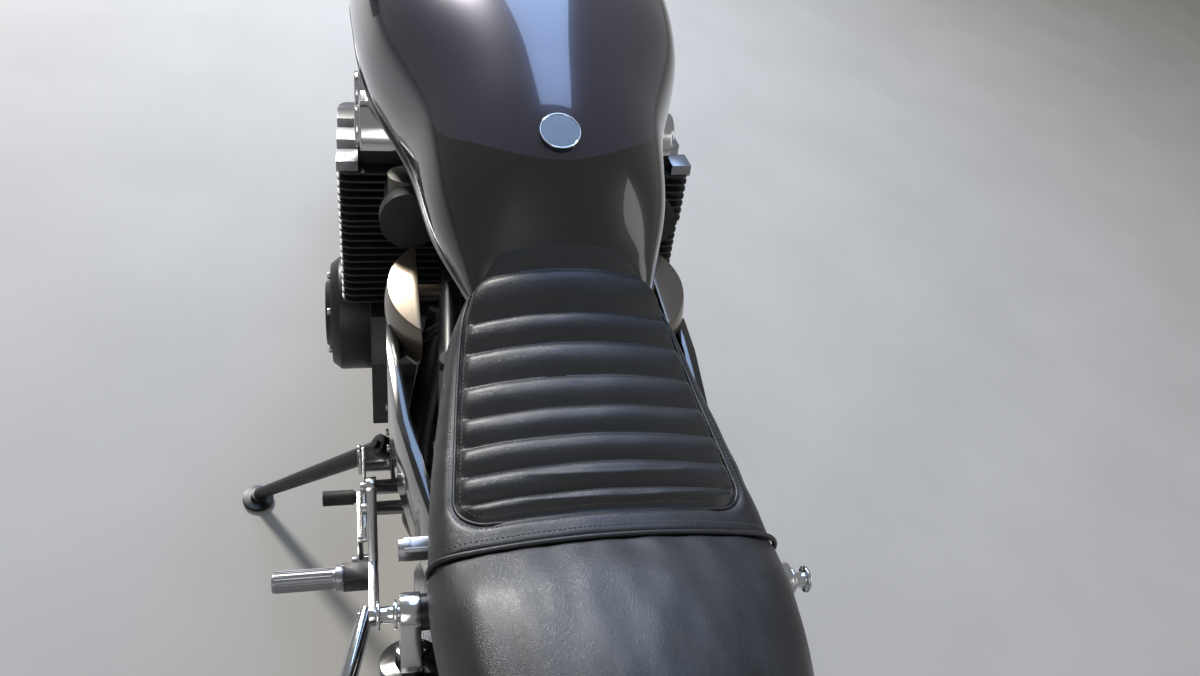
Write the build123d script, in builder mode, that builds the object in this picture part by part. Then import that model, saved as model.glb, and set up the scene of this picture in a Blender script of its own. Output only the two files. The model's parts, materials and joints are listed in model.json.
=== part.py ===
from build123d import *
from math import atan2, cos, degrees, pi, radians, sin, sqrt
import os

os.makedirs("parts", exist_ok=True)

# The motorcycle is drawn upright in millimetres: X forward from the rear axle, Y to the rider's left,
# Z up from the ground. At the end it leans on to its side stand.

# Chassis geometry
wheelbase = 1460
rear_radius = 312
front_radius = 300
rake = radians(25.5)
trail = 100
lean_angle = 9
steering_lock = 30

# Engine
crank = (800, 0, 427)
engine_tilt = radians(8)
bore_pitch = 96
cylinders = [(n - 1.5) * bore_pitch for n in range(4)]
case_half = 190
lower_case_half = 138
lower_case_floor = 283
fin_half = 226
deck_height = 75
head_height = 205
cover_height = 305

# Swinging arm, chain and shocks
pivot = (500, 360)
chain_y = 96
rear_teeth = 40
front_teeth = 17
chain_pitch = 15.875
arm_inner = 118
arm_outer = 146
shock_top = (140, 163, 700)
shock_foot = (30, 163, 330)
arm_tail = -78
bobbin_x, bobbin_z, bobbin_face, bobbin_depth = -38, 312, 152, 16

# Fork, in the steering frame: x ahead of the steering axis, z up along it from the axle
fork_offset = front_radius * sin(rake) - trail * cos(rake)
fork_half = 105
tube_radius = 21.5
slider_radius = 27
slider_top = 330
lower_yoke = 520
upper_yoke = 700

# Stand, footrests and seat
stand_pivot = (653, 176, 292)
stand_foot = (745, 383)
footrest_x = 408
footrest_z = 340
seat_floor = 715

axle_radius = 10
running_gap = 0.06


def rod(start, end, radius, mode=Mode.ADD):
    # Straight round bar between two points
    along = Vector(*end) - Vector(*start)
    with Locations(Plane(origin=start, z_dir=along).location):
        Cylinder(radius, along.length, align=(Align.CENTER, Align.CENTER, Align.MIN), mode=mode)


def taper(start, end, first_radius, last_radius):
    # Round cone between two points
    along = Vector(*end) - Vector(*start)
    with Locations(Plane(origin=start, z_dir=along).location):
        Cone(first_radius, last_radius, along.length, align=(Align.CENTER, Align.CENTER, Align.MIN))


def bent_tube(points, radius, bends):
    # Round tube of straight runs joined by arcs
    with BuildLine() as route:
        FilletPolyline(*points, radius=bends)
    with BuildSketch(Plane(origin=points[0], z_dir=Vector(*points[1]) - Vector(*points[0]))) as ring:
        Circle(radius)
    sweep(ring.sketch, path=route.line)


def hull_plate(plane, circles, thickness):
    # Flat plate whose outline wraps round a list of circles, each x, y, radius
    with BuildSketch(plane) as outline:
        with BuildLine():
            for x, y, radius in circles:
                CenterArc((x, y), radius, 0, 360)
        make_hull()
    extrude(outline.sketch, amount=thickness)


def body_section(x, low, low_z, wide, wide_z, edge, edge_z, crown_z):
    # Cross-section at station x: flat floor, two bowed flanks and one crown arc
    with BuildSketch(Plane(origin=(x, 0, 0), x_dir=(0, 1, 0), z_dir=(1, 0, 0))) as section:
        with BuildLine():
            Line((-low, low_z), (low, low_z))
            ThreePointArc((low, low_z), (wide, wide_z), (edge, edge_z))
            ThreePointArc((edge, edge_z), (0, crown_z), (-edge, edge_z))
            ThreePointArc((-edge, edge_z), (-wide, wide_z), (-low, low_z))
        make_face()
    return section.sketch


# Steering axis: the foot of the axle on it is the origin of the steering frame
axis_up = Vector(-sin(rake), 0, cos(rake))
axis_ahead = Vector(cos(rake), 0, sin(rake))
steering_origin = Vector(wheelbase, 0, front_radius) - axis_ahead * fork_offset
steering_frame = Plane(origin=steering_origin, x_dir=axis_ahead, z_dir=axis_up)
engine_frame = Plane(origin=crank, x_dir=(cos(engine_tilt), 0, -sin(engine_tilt)),
                     z_dir=(sin(engine_tilt), 0, cos(engine_tilt)))


def on_engine(x, y, z):
    return tuple(engine_frame.from_local_coords((x, y, z)))


def on_steering(x, y, z):
    return tuple(steering_frame.from_local_coords((x, y, z)))


# How it stands: both tyres and the stand's foot on the ground, the steering on its left stop
steered = steering_frame.location * Location((0, 0, 0), (0, 0, steering_lock))
rear_wheel_frame = Location((0, 0, rear_radius))
front_wheel_frame = steered * Location((fork_offset, 0, 0))
tyre_crowns = ((rear_wheel_frame, rear_radius, 80, 262), (front_wheel_frame, front_radius, 60, 256))


def lowest_point(placement, outer, half_width, shoulder):
    # Height of a leaning tyre's lowest point, its tread being an arc through the shoulders
    rise = outer - shoulder
    crown = (half_width ** 2 + rise ** 2) / (2 * rise)
    axle = Plane(placement).y_dir
    return placement.position.Z - (outer - crown) * sqrt(1 - axle.Z ** 2) - crown


parked = Location((0, 0, 0), (-lean_angle, 0, 0))
for step in range(4):
    rear_low, front_low = (lowest_point(parked * place, *sizes) for place, *sizes in tyre_crowns)
    parked = Location((0, 0, 0), (0, degrees(atan2(front_low - rear_low, wheelbase)), 0)) * parked
parked = Location((0, 0, -lowest_point(parked * rear_wheel_frame, *tyre_crowns[0][1:]))) * parked

# Side stand: its leg swings square to a tilted bolt, from the ground back along the frame
stand_ground = (parked.inverse() * Location((*stand_foot, 0))).position
leg_down = (stand_ground - Vector(*stand_pivot)).normalized()
leg_folded = Vector(-0.97, 0.1, -0.15).normalized()
stand_axis = leg_down.cross(leg_folded).normalized()
stand_fold = leg_down.get_angle(leg_folded)
ground_up = (parked.inverse() * Location((0, 0, 1))).position - (parked.inverse() * Location((0, 0, 0))).position

# Frame: steering head and backbone, with the cross tube under the tank's tail and four tank mounts
cross_tube_x, cross_tube_z, cross_tube_half = 560, 694, 108
head_radius = 30
tunnel_half = 42
with BuildPart() as frame_spine:
    rod(on_steering(0, 0, lower_yoke + 31), on_steering(0, 0, upper_yoke - 3), head_radius)
    bent_tube([on_steering(0, 0, 624), (598, 0, 800), (cross_tube_x, 0, cross_tube_z)], 25, 50)
    rod((cross_tube_x, -cross_tube_half, cross_tube_z), (cross_tube_x, cross_tube_half, cross_tube_z), 16)
    for x, z in ((1000, 836), (622, 804)):
        rod((x, -tunnel_half, z), (x, tunnel_half, z), 11)
    rod(on_steering(0, 0, lower_yoke), on_steering(0, 0, upper_yoke), 19, Mode.SUBTRACT)

# Frame: one bent tube down each side, the plate that carries the swinging arm's bolt, the engine's lugs
# and the side stand's bolt in its boss
cradle_route = [(1171, 20, 810), (992, 96, 672), (950, 100, 262), (520, 130, 262), (478, 142, 360),
                (455, 142, 540), (520, 112, 690)]
with BuildPart() as frame_cradles:
    bent_tube(cradle_route, 15, [60, 60, 60, 50, 60])
    hull_plate(Plane.XZ.offset(-134), [(500, 360, 26), (478, 300, 14), (470, 430, 14)], 8)
    for x in (690, 880):
        rod((x, 112, 262), (x, 112, lower_case_floor), 13)
    rod((966, 99, 392), (936, 99, 392), 13)
    mirror(about=Plane.XZ)
    rod(tuple(Vector(*stand_pivot) - stand_axis * 26), tuple(Vector(*stand_pivot) + stand_axis * 18), 6)
    rod(tuple(Vector(*stand_pivot) - stand_axis * 32), tuple(Vector(*stand_pivot) - stand_axis * 19), 17)
    rod(tuple(Vector(*stand_pivot) - stand_axis * 26), (650, 112, 262), 12)
    add(frame_spine.part, mode=Mode.SUBTRACT)
    rod(on_steering(0, 0, lower_yoke), on_steering(0, 0, upper_yoke), head_radius, Mode.SUBTRACT)

# Frame: seat rails with the tail loop, the shocks' upper lugs, struts, the seat's feet and cover pegs
rail_z = 694
seat_feet = [(420, 111, seat_floor), (180, 120, seat_floor), (60, 116, seat_floor + 2), (-60, 98, seat_floor + 8)]
cover_pegs = [(490, 162, 650), (290, 144, 650)]  # where a cover's inner face meets its peg
with BuildPart() as frame_seat_rails:
    bent_tube([(cross_tube_x, 100, rail_z), (400, 112, rail_z), (140, 122, rail_z), (-90, 95, 700),
               (-90, 0, 700)], 12.5, [200, 300, 40])
    bent_tube([(462, 126, 470), (330, 112, 600), (180, 112, 690)], 11, 60)
    rod((shock_top[0], 110, shock_top[2]), (shock_top[0], 155, shock_top[2]), 15)
    for x, y, top in seat_feet:
        rod((x, y, rail_z), (x, y, top), 11)
    for x, y, z in cover_pegs:
        rod((x, 114, rail_z), (x, y, z), 6)
    mirror(about=Plane.XZ)
    rod((300, -116, rail_z), (300, 116, rail_z), 10)
    add(frame_spine.part, mode=Mode.SUBTRACT)
    add(frame_cradles.part, mode=Mode.SUBTRACT)

# Engine: crankcase with its deck square to the leaning cylinders, gearbox behind and sump below
deck_back = on_engine(-118, 0, deck_height)
deck_front = on_engine(122, 0, deck_height)
with BuildPart() as crankcase:
    with BuildSketch(Plane.XZ.offset(-case_half)) as case_side:
        with BuildLine():
            Polyline((650, 350), (938, 350), (950, 410), (deck_front[0], deck_front[2]),
                     (deck_back[0], deck_back[2]), (650, 470), close=True)
        make_face()
    extrude(amount=2 * case_half)
    with BuildSketch(Plane.XZ.offset(-lower_case_half)) as lower_side:
        with BuildLine():
            Polyline((650, 350), (650, 304), (680, lower_case_floor), (892, lower_case_floor), (925, 316),
                     (938, 350), close=True)
        make_face()
    extrude(amount=2 * lower_case_half)
    with BuildSketch(Plane.XZ.offset(-78)) as gearbox_side:
        with BuildLine():
            Polyline((652, 290), (560, 306), (538, 350), (545, 430), (600, 466), (652, 470), close=True)
        make_face()
    extrude(amount=78 + lower_case_half)
    with BuildSketch(Plane.XZ.offset(-75)) as sump_side:
        with BuildLine():
            Polyline((690, 290), (700, 240), (720, 230), (850, 230), (876, 246), (884, 290), close=True)
        make_face()
    extrude(amount=150)
    add(frame_cradles.part, mode=Mode.SUBTRACT)
    rod((930, 0, 330), (968, 0, 330), 34)
    rod((968, 0, 330), (974, 0, 330), 26)
    rod((592, 78, 365), (592, 101, 365), 34)

# Engine: generator, ignition, clutch and sprocket covers, each stepped in to a bevelled cap
cover_table = [  # x, z, side, radius, reach of the foot, of the shoulder and of the face, cap radius, its height
    (800, 427, 1, 82, 190, 232, 244, 50, 8),
    (800, 427, -1, 62, 190, 214, 221, 36, 6),
    (692, 400, -1, 93, 190, 216, 227, 58, 7),
]
cover_bevel = 10
with BuildPart() as engine_covers:
    for x, z, side, radius, foot, shoulder, face, cap, cap_height in cover_table:
        rod((x, side * foot, z), (x, side * shoulder, z), radius)
        taper((x, side * shoulder, z), (x, side * face, z), radius, radius - cover_bevel)
        taper((x, side * face, z), (x, side * (face + cap_height), z), cap, cap - 4)
    hull_plate(Plane.XZ.offset(-168), [(640, 385, 60), (592, 365, 58)], 168 - 112)
    add(crankcase.part, mode=Mode.SUBTRACT)

# Engine: cylinder block in its own frame, a core and thin fins slotted between the bores
fin_length = 196
block_fins = [deck_height + 9 + n * 10.6 for n in range(12)]
head_fins = [head_height + 8 + n * 11 for n in range(7)]


def fin_stack(levels, length, thickness):
    # Rounded fins at each level, slotted between the bores front and back
    with BuildSketch(*[Plane.XY.offset(level) for level in levels]) as fins:
        RectangleRounded(length, 2 * fin_half, 16)
        with Locations([(side * length / 2, row * bore_pitch) for side in (-1, 1) for row in (-1, 0, 1)]):
            Rectangle(46, 7, mode=Mode.SUBTRACT)
    extrude(fins.sketch, amount=thickness)


with BuildPart() as cylinder_block:
    with Locations((0, 0, deck_height)):
        Box(148, 2 * case_half - 6, head_height - deck_height, align=(Align.CENTER, Align.CENTER, Align.MIN))
    fin_stack(block_fins, fin_length, 3)

with BuildPart() as cylinder_head:
    with Locations((0, 0, head_height)):
        Box(160, 400, cover_height - head_height, align=(Align.CENTER, Align.CENTER, Align.MIN))
    fin_stack(head_fins, fin_length + 16, 3)
    for y in cylinders:
        rod((70, y, 238), (116, y, 230), 25)
        rod((-70, y, 255), (-118, y, 262), 25)
        rod((104, y, 276), (120, y, 283), 11)
    for x in (-84, -22, 40):
        for side in (-1, 1):
            with Locations((x, side * 213, 288)):
                Box(34, 26, 14)

cam_reach = 56
cam_end = 197
with BuildPart() as cam_cover:
    with BuildSketch(Plane.XZ.offset(-cam_end)) as cover_side:
        with Locations((-cam_reach, 312), (cam_reach, 312)):
            Circle(40)
        with Locations((0, 316)):
            Rectangle(2 * cam_reach, 36)
        with Locations((0, cover_height - 50)):
            Rectangle(300, 100, mode=Mode.SUBTRACT)
    extrude(amount=2 * cam_end)
    for x in (-cam_reach, cam_reach):
        rod((x, -cam_end - 6, 318), (x, cam_end + 6, 318), 28)
    with Locations((0, 0, cover_height - 50)):
        Box(300, 500, 100, mode=Mode.SUBTRACT)

# Four carburettors behind the head, joined by one rail
with BuildPart() as carburettors:
    for y in cylinders:
        rod(on_engine(-118, y, 262), on_engine(-190, y, 272.5), 26)
        rod(on_engine(-190, y, 272.5), on_engine(-214, y, 276), 33)
        rod(on_engine(-158, y, 246), on_engine(-158, y, 308), 22)
    rod(on_engine(-160, -cylinders[3], 290), on_engine(-160, cylinders[3], 290), 9)

# Exhaust: four bent headers into one collector, then a link pipe to the right side
header_table = [  # y at the port, y under the engine
    (cylinders[0], -92),
    (cylinders[1], -46),
    (cylinders[2], 0),
    (cylinders[3], 46),
]
header_radius = 19
collector_y = -23
silencer_start = (400, -222, 240)
with BuildPart() as exhaust_headers:
    for port_y, low_y in header_table:
        start = on_engine(116, port_y, 230)
        rod(start, on_engine(125.2, port_y, 228.4), 29)
        bent_tube([start, on_engine(208, port_y, 214), (1006, low_y, 197), (650, low_y, 197)],
                  header_radius, [50, 90])
    with Locations(Location((650, collector_y, 197))):
        Box(60, 4 * 46, 2 * header_radius + 4, align=(Align.MIN, Align.CENTER, Align.CENTER))
    taper((650, collector_y, 197), (560, collector_y, 200), 40, 26)
    bent_tube([(562, collector_y, 200), (500, collector_y, 202), silencer_start], 25, 90)

silencer_end = (10, -246, 312)
silencer_run = Vector(*silencer_end) - Vector(*silencer_start)


def on_silencer(share):
    return tuple(Vector(*silencer_start) + silencer_run * share)


with BuildPart() as silencer:
    taper(silencer_start, on_silencer(0.22), 27, 48)
    rod(on_silencer(0.22), on_silencer(0.84), 48)
    taper(on_silencer(0.84), silencer_end, 48, 35)
    rod(on_silencer(0.82), silencer_end, 26, Mode.SUBTRACT)
    for share in (0.24, 0.78):
        rod(on_silencer(share), on_silencer(share + 0.03), 50)
    add(exhaust_headers.part, mode=Mode.SUBTRACT)

# Seat: the pad with its rounded nose and the tongue under the tank, and the hump behind it
pad_stations = [  # x, floor half-width, its height, widest, its height, edge, its height, crown height
    (486, 36, seat_floor, 38, 790, 28, 826, 838),
    (473, 64, seat_floor, 66, 785, 52, 825, 837),
    (452, 87, seat_floor, 90, 775, 74, 817, 829),
    (425, 103, seat_floor, 106, 762, 90, 801, 815),
    (395, 116, seat_floor, 118, 750, 102, 787, 803),
    (325, 128, seat_floor, 130, 745, 112, 773, 788),
    (240, 140, seat_floor, 142, 745, 121, 768, 784),
    (148, 148, seat_floor, 150, 745, 130, 766, 781),
]
hump_stations = [
    (147, 148, seat_floor, 150, 745, 130, 766, 781),
    (90, 147, seat_floor, 149, 752, 126, 786, 802),
    (0, 134, seat_floor, 136, 756, 112, 796, 815),
    (-90, 110, seat_floor + 6, 112, 752, 90, 786, 803),
    (-165, 76, seat_floor + 14, 77, 745, 58, 762, 772),
]
with BuildPart() as seat_pad:
    loft([body_section(*station) for station in pad_stations])
    with BuildSketch(Plane.XY.offset(seat_floor)) as tongue:
        with BuildLine():
            Polyline((452, 104), (520, 82), (520, -82), (452, -104), close=True)
        make_face()
    extrude(amount=55)
    add(frame_spine.part, mode=Mode.SUBTRACT)

with BuildPart() as seat_hump:
    loft([body_section(*station) for station in hump_stations])
    add(frame_seat_rails.part, mode=Mode.SUBTRACT)

# Fuel tank: sections from the tail to the nose, hollowed below for the backbone, with its seam flange
tank_stations = [  # x, floor half-width, widest, its height, edge, its height, crown height
    (430, 88, 91, 784, 74, 793, 797),
    (456, 97, 100, 795, 78, 818, 832),
    (530, 121, 126, 812, 95, 868, 903),
    (640, 140, 146, 830, 112, 905, 948),
    (780, 182, 191, 846, 150, 930, 973),
    (930, 199, 207, 850, 165, 925, 973),
    (1032, 196, 202, 850, 150, 900, 938),
    (1064, 158, 163, 845, 120, 878, 902),
]
tank_tail, tank_floor, floor_rise = 430, 775, 0.0592
flange_reach, flange_thickness = 5, 5
cap_x, cap_radius = 905, 40
badge_x, badge_radius = 540, 21
with BuildPart() as filler_cap:
    rod((cap_x, 0, 962), (cap_x, 0, 979), cap_radius)
    taper((cap_x, 0, 979), (cap_x, 0, 983), cap_radius, cap_radius - 5)
    rod((cap_x, 0, 983), (cap_x, 0, 986), 13)

badge_normal = Vector(-sin(radians(22)), 0, cos(radians(22)))
badge_centre = Vector(badge_x, 0, 911)
with BuildPart() as tank_badge:
    rod(tuple(badge_centre - badge_normal * 5), tuple(badge_centre + badge_normal * 1.5), badge_radius)

with BuildPart() as fuel_tank:
    loft([body_section(x, low, tank_floor + (x - tank_tail) * floor_rise, *rest) for x, low, *rest in tank_stations])
    rims = [(x - tank_tail, low + flange_reach) for x, low, *rest in tank_stations]
    with BuildSketch(Plane(origin=(tank_tail, 0, tank_floor), x_dir=(1, 0, floor_rise), z_dir=(-floor_rise, 0, 1))):
        with BuildLine():
            Polyline(*rims, *[(x, -y) for x, y in reversed(rims)], close=True)
        make_face()
    extrude(amount=flange_thickness)
    with BuildSketch(Plane.XZ.offset(-tunnel_half)) as tunnel_side:
        with BuildLine():
            Polyline((1090, 700), (1090, 872), (600, 840), (530, 800), (530, 700), close=True)
        make_face()
    extrude(amount=2 * tunnel_half, mode=Mode.SUBTRACT)
    for neighbour in (filler_cap, tank_badge, seat_pad):
        add(neighbour.part, mode=Mode.SUBTRACT)

# Helmet lock on the left seat rail, with its key barrel facing out
with BuildPart() as helmet_lock:
    with BuildSketch(Plane.XZ.offset(-166)) as lock_body:
        with Locations((203, 699)):
            RectangleRounded(16, 18, 3)
    extrude(amount=44)
    rod((203, 160, 699), (203, 171, 699), 10)
    add(frame_seat_rails.part, mode=Mode.SUBTRACT)

# Side covers: curved panels below the seat, with the half-oval pods above and ahead of them
with BuildPart() as side_covers:
    with BuildSketch(Plane.XY.offset(560)) as cover_plan:
        with BuildLine():
            Polyline((245, 138), (299, 151), (376, 166), (462, 173), (516, 173), (516, 160), (462, 160),
                     (376, 152), (299, 138), (245, 126), close=True)
        make_face()
    extrude(amount=112)
    fillet(side_covers.edges().filter_by(Axis.Z).sort_by(Axis.X)[:2], 5)
    mirror(about=Plane.XZ)
    add(frame_seat_rails.part, mode=Mode.SUBTRACT)

pod_levels = [  # height, rear and front end, inner side, bulge
    (704, 474, 616, 137, 169),
    (690, 468, 620, 136, 172),
    (625, 500, 600, 144, 160),
]
with BuildPart() as cover_pods:
    for level, rear, front, inner, bulge in pod_levels:
        with BuildSketch(Plane.XY.offset(level)) as pod_outline:
            with BuildLine():
                Line((front, inner), (rear, inner))
                ThreePointArc((rear, inner), ((rear + front) / 2 - 15, bulge), (front, inner))
            make_face()
    loft()
    rod((545, 108, 694), (545, 142, 694), 9)
    mirror(about=Plane.XZ)
    add(frame_seat_rails.part, mode=Mode.SUBTRACT)
    add(side_covers.part, mode=Mode.SUBTRACT)

# Rear mudguard: a thin arch over the tyre
guard_radius = 334
with BuildPart() as rear_mudguard:
    with BuildSketch(Plane(origin=(0, 0, rear_radius), x_dir=(0, 1, 0), z_dir=(1, 0, 0))) as guard:
        with BuildLine():
            ThreePointArc((-90, guard_radius - 26), (0, guard_radius), (90, guard_radius - 26))
            Line((90, guard_radius - 26), (87, guard_radius - 28))
            ThreePointArc((87, guard_radius - 28), (0, guard_radius - 3), (-87, guard_radius - 28))
            Line((-87, guard_radius - 28), (-90, guard_radius - 26))
        make_face()
    revolve(guard.sketch, axis=Axis((0, 0, rear_radius), (0, -1, 0)), revolution_arc=70)
    revolve(guard.sketch, axis=Axis((0, 0, rear_radius), (0, 1, 0)), revolution_arc=28)
    for side in (-1, 1):
        for x, z in ((60, 613), (-70, 611)):
            rod((x, side * 87, z), (x * 1.05, side * 106, rail_z), 5)
    add(frame_seat_rails.part, mode=Mode.SUBTRACT)

with BuildPart() as tail_lamp:
    rod((-165, 0, 744), (-180, 0, 744), 24)
    rod((-180, 0, 744), (-186, 0, 744), 21)

# Swinging arm: two box arms on the pivot tube, with a cross brace ahead of the tyre, and its axle
with BuildPart() as rear_axle:
    rod((0, -150, rear_radius), (0, 150, rear_radius), axle_radius)
    for side in (-1, 1):
        rod((0, side * arm_outer, rear_radius), (0, side * (arm_outer + 14), rear_radius), 15)

with BuildPart() as swingarm:
    with BuildSketch(Plane.XY.offset(pivot[1] - 90)) as arm_plan:
        with BuildLine():
            Polyline((524, 102), (524, 122), (440, 124), (380, arm_outer),
                     (arm_tail, arm_outer), (arm_tail, arm_inner), (380, arm_inner - 4), (430, 102), close=True)
        make_face()
    extrude(amount=140)
    with BuildSketch(Plane.XZ.offset(-170)) as arm_side:
        with BuildLine():
            Polyline((526, 388), (380, 384), (60, 341), (arm_tail, 334), (arm_tail, 290), (60, 284),
                     (380, 322), (526, 332), close=True)
        make_face()
    extrude(amount=90, mode=Mode.INTERSECT)
    rod((shock_foot[0], arm_outer - 4, shock_foot[2]), (shock_foot[0], 155, shock_foot[2]), 15)
    rod((bobbin_x, arm_outer - 4, bobbin_z), (bobbin_x, bobbin_face, bobbin_z), 12)
    rod((bobbin_x, bobbin_face - bobbin_depth, bobbin_z), (bobbin_x, bobbin_face, bobbin_z), 4, Mode.SUBTRACT)
    with Locations((arm_tail - 3, (arm_inner + arm_outer) / 2, rear_radius)):
        Box(6, arm_outer - arm_inner + 6, 50)
    mirror(about=Plane.XZ)
    rod((pivot[0], -122, pivot[1]), (pivot[0], 122, pivot[1]), 24)
    rod((372, -120, 352), (372, 120, 352), 18)
    rod((pivot[0], -140, pivot[1]), (pivot[0], 140, pivot[1]), 8, Mode.SUBTRACT)
    add(rear_axle.part, mode=Mode.SUBTRACT)

# Shocks: eye, damper and cap on each side, and a coil round the damper
shock_run = Vector(*shock_top) - Vector(*shock_foot)


def on_shock(share):
    return tuple(Vector(*shock_foot) + shock_run * share)


with BuildPart() as shock_bodies:
    for eye, end, reach in ((shock_foot, 0.08, 180), (shock_top, 0.86, 191)):
        neck = on_shock(end)
        hull_plate(Plane.XZ.offset(-172), [(eye[0], eye[2], 17), (neck[0], neck[2], 13)], 17)
        rod((eye[0], 172, eye[2]), (eye[0], reach, eye[2]), 7)
        for washer in (174, reach - 3):
            rod((eye[0], washer, eye[2]), (eye[0], washer + 3, eye[2]), 12)
    rod(on_shock(0.04), on_shock(0.9), 13)
    rod(on_shock(0.08), on_shock(0.14), 27)
    rod(on_shock(0.78), on_shock(0.86), 27)
    mirror(about=Plane.XZ)

coil_radius, coil_wire, coil_pitch = 21, 4.8, 31
with BuildPart() as shock_springs:
    with BuildLine() as coil:
        Helix(coil_pitch, shock_run.length * 0.612, coil_radius, center=on_shock(0.154), direction=shock_run)
    with BuildSketch(Plane(origin=coil.line @ 0, z_dir=coil.line % 0)) as wire:
        RegularPolygon(coil_wire, 6)
    sweep(wire.sketch, path=coil.line, is_frenet=True)
    mirror(about=Plane.XZ)

# Drive chain: wide and narrow links in turn along one loop, grooved inside for the sprockets' teeth
front_sprocket = (594.4, 365)
link_count = 104
link_half_height = 6
link_half_widths = (8.8, 6.2)
groove_half = 3.75
groove_depth = 3
rear_pitch_radius = chain_pitch / 2 / sin(pi / rear_teeth)
front_pitch_radius = chain_pitch / 2 / sin(pi / front_teeth)


def chain_loop(plane, growth):
    # The area inside a belt round both sprockets, so far outside the pitch line
    with BuildSketch(plane) as belt:
        with BuildLine():
            CenterArc((0, rear_radius), rear_pitch_radius + growth, 0, 360)
            CenterArc(front_sprocket, front_pitch_radius + growth, 0, 360)
        make_hull()
    return belt.sketch


pitch_line = chain_loop(Plane.XZ, 0).face().outer_wire()
link_length = pitch_line.length / link_count
pins = [pitch_line.position_at(n * link_length, position_mode=PositionMode.LENGTH) for n in range(link_count)]
link_planes = [Plane(origin=((pins[n - 1].X + pins[n].X) / 2, chain_y, (pins[n - 1].Z + pins[n].Z) / 2),
                     x_dir=pins[n] - pins[n - 1], z_dir=(0, -1, 0)) for n in range(link_count)]
with BuildPart() as drive_chain:
    for first, half_width in enumerate(link_half_widths):
        with BuildSketch(*link_planes[first::2]) as links:
            with BuildLine():
                tip = link_length / 2 + 5
                flat = link_length / 2 + 0.5
                Polyline((-tip, 0), (-flat, link_half_height), (flat, link_half_height), (tip, 0),
                         (flat, -link_half_height), (-flat, -link_half_height), close=True)
            make_face()
        extrude(links.sketch, amount=half_width, both=True)
    extrude(chain_loop(Plane.XZ.offset(-chain_y - groove_half), groove_depth), amount=2 * groove_half,
            mode=Mode.SUBTRACT)

with BuildPart() as chain_guard:
    with BuildSketch(Plane.XZ.offset(-116)) as guard_side:
        with BuildLine():
            Polyline((430, 426), (430, 440), (-40, 446), (-96, 400), (-88, 392), (-36, 436), (420, 428),
                     close=True)
        make_face()
    extrude(amount=30)
    rod((300, 112, 432), (300, 125, 380), 6)
    add(swingarm.part, mode=Mode.SUBTRACT)

# Rear brake: caliper over the disc on a bracket round the axle
rear_disc_y = -100
with BuildPart() as rear_brake:
    hull_plate(Plane.XZ.offset(112), [(0, rear_radius, 24), (70, 410, 16)], 5)
    with Locations((78, rear_disc_y - 2, 408)):
        Box(74, 34, 46)
    rod((0, rear_disc_y - 8, rear_radius), (0, rear_disc_y + 8, rear_radius), 130, Mode.SUBTRACT)
    rod((0, -130, rear_radius), (0, -90, rear_radius), axle_radius, Mode.SUBTRACT)
    add(swingarm.part, mode=Mode.SUBTRACT)

# Footrest hangers: plates stood off from the cradles, each with an arm back to a folded pillion footrest,
# then the rider's footrests and the foot controls
hanger_inner, hanger_outer = 188, 200
pillion_pivot = (322, 388)
with BuildPart() as footrest_hangers:
    hull_plate(Plane.XZ.offset(-hanger_outer), [(footrest_x, footrest_z, 20), (443, 320, 17), (462, 450, 13),
                                                (474, 390, 13)], hanger_outer - hanger_inner)
    hull_plate(Plane.XZ.offset(-hanger_outer), [(footrest_x, footrest_z + 20, 14), (*pillion_pivot, 12)],
               hanger_outer - hanger_inner)
    rod((pillion_pivot[0], hanger_inner, pillion_pivot[1]), (pillion_pivot[0], 212, pillion_pivot[1]), 8)
    rod((pillion_pivot[0] + 8, 203, pillion_pivot[1]), (240, 226, pillion_pivot[1]), 10)
    rod((462, 140, 450), (462, hanger_inner, 450), 9)
    rod((474, 140, 390), (474, hanger_inner, 390), 9)
    mirror(about=Plane.XZ)
    hull_plate(Plane.XZ.offset(hanger_inner), [(footrest_x, footrest_z, 16), (336, 296, 10)],
               hanger_outer - hanger_inner)
    add(frame_cradles.part, mode=Mode.SUBTRACT)
    add(silencer.part, mode=Mode.SUBTRACT)

with BuildPart() as footrests:
    with Locations((footrest_x, 216, footrest_z)):
        Box(26, 32, 26)
    rod((footrest_x, 230, footrest_z), (footrest_x, 240, footrest_z), 16)
    rod((footrest_x, 240, footrest_z), (footrest_x, 316, footrest_z), 12.5)
    mirror(about=Plane.XZ)

with BuildPart() as foot_controls:
    hull_plate(Plane.XZ.offset(-214), [(443, 320, 13), (546, 320, 9)], 8)
    rod((443, 200, 320), (443, 206, 320), 9)
    rod((546, 214, 320), (546, 259, 320), 8)
    mirror(about=Plane.XZ)
    hull_plate(Plane.XZ.offset(-212), [(443, 320, 9), (452, 356, 7)], 5)
    hull_plate(Plane.XZ.offset(-206), [(452, 356, 4), (592, 364, 4)], 5)
    hull_plate(Plane.XZ.offset(-212), [(592, 364, 7), (592, 326, 10)], 5)
    rod((592, 168, 326), (592, 208, 326), 7)
    add(engine_covers.part, mode=Mode.SUBTRACT)

# Fork, in the steering frame
with BuildPart() as yokes:
    for level, thickness in ((lower_yoke, 28), (upper_yoke, 24)):
        hull_plate(Plane.XY.offset(level), [(0, 0, 36), (fork_offset, fork_half, 34),
                                            (fork_offset, -fork_half, 34)], thickness)
    rod((0, 0, lower_yoke), (0, 0, upper_yoke + 36), 14)
    rod((0, 0, upper_yoke + 24), (0, 0, upper_yoke + 34), 19)
    for side in (-1, 1):
        rod((fork_offset, side * fork_half, lower_yoke - 5), (fork_offset, side * fork_half, upper_yoke + 50),
            tube_radius, Mode.SUBTRACT)

with BuildPart() as fork_tubes:
    rod((fork_offset, fork_half, slider_top), (fork_offset, fork_half, upper_yoke + 70), tube_radius)
    rod((fork_offset, fork_half, upper_yoke + 70), (fork_offset, fork_half, upper_yoke + 76), 14)
    mirror(about=Plane.XZ)

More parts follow.
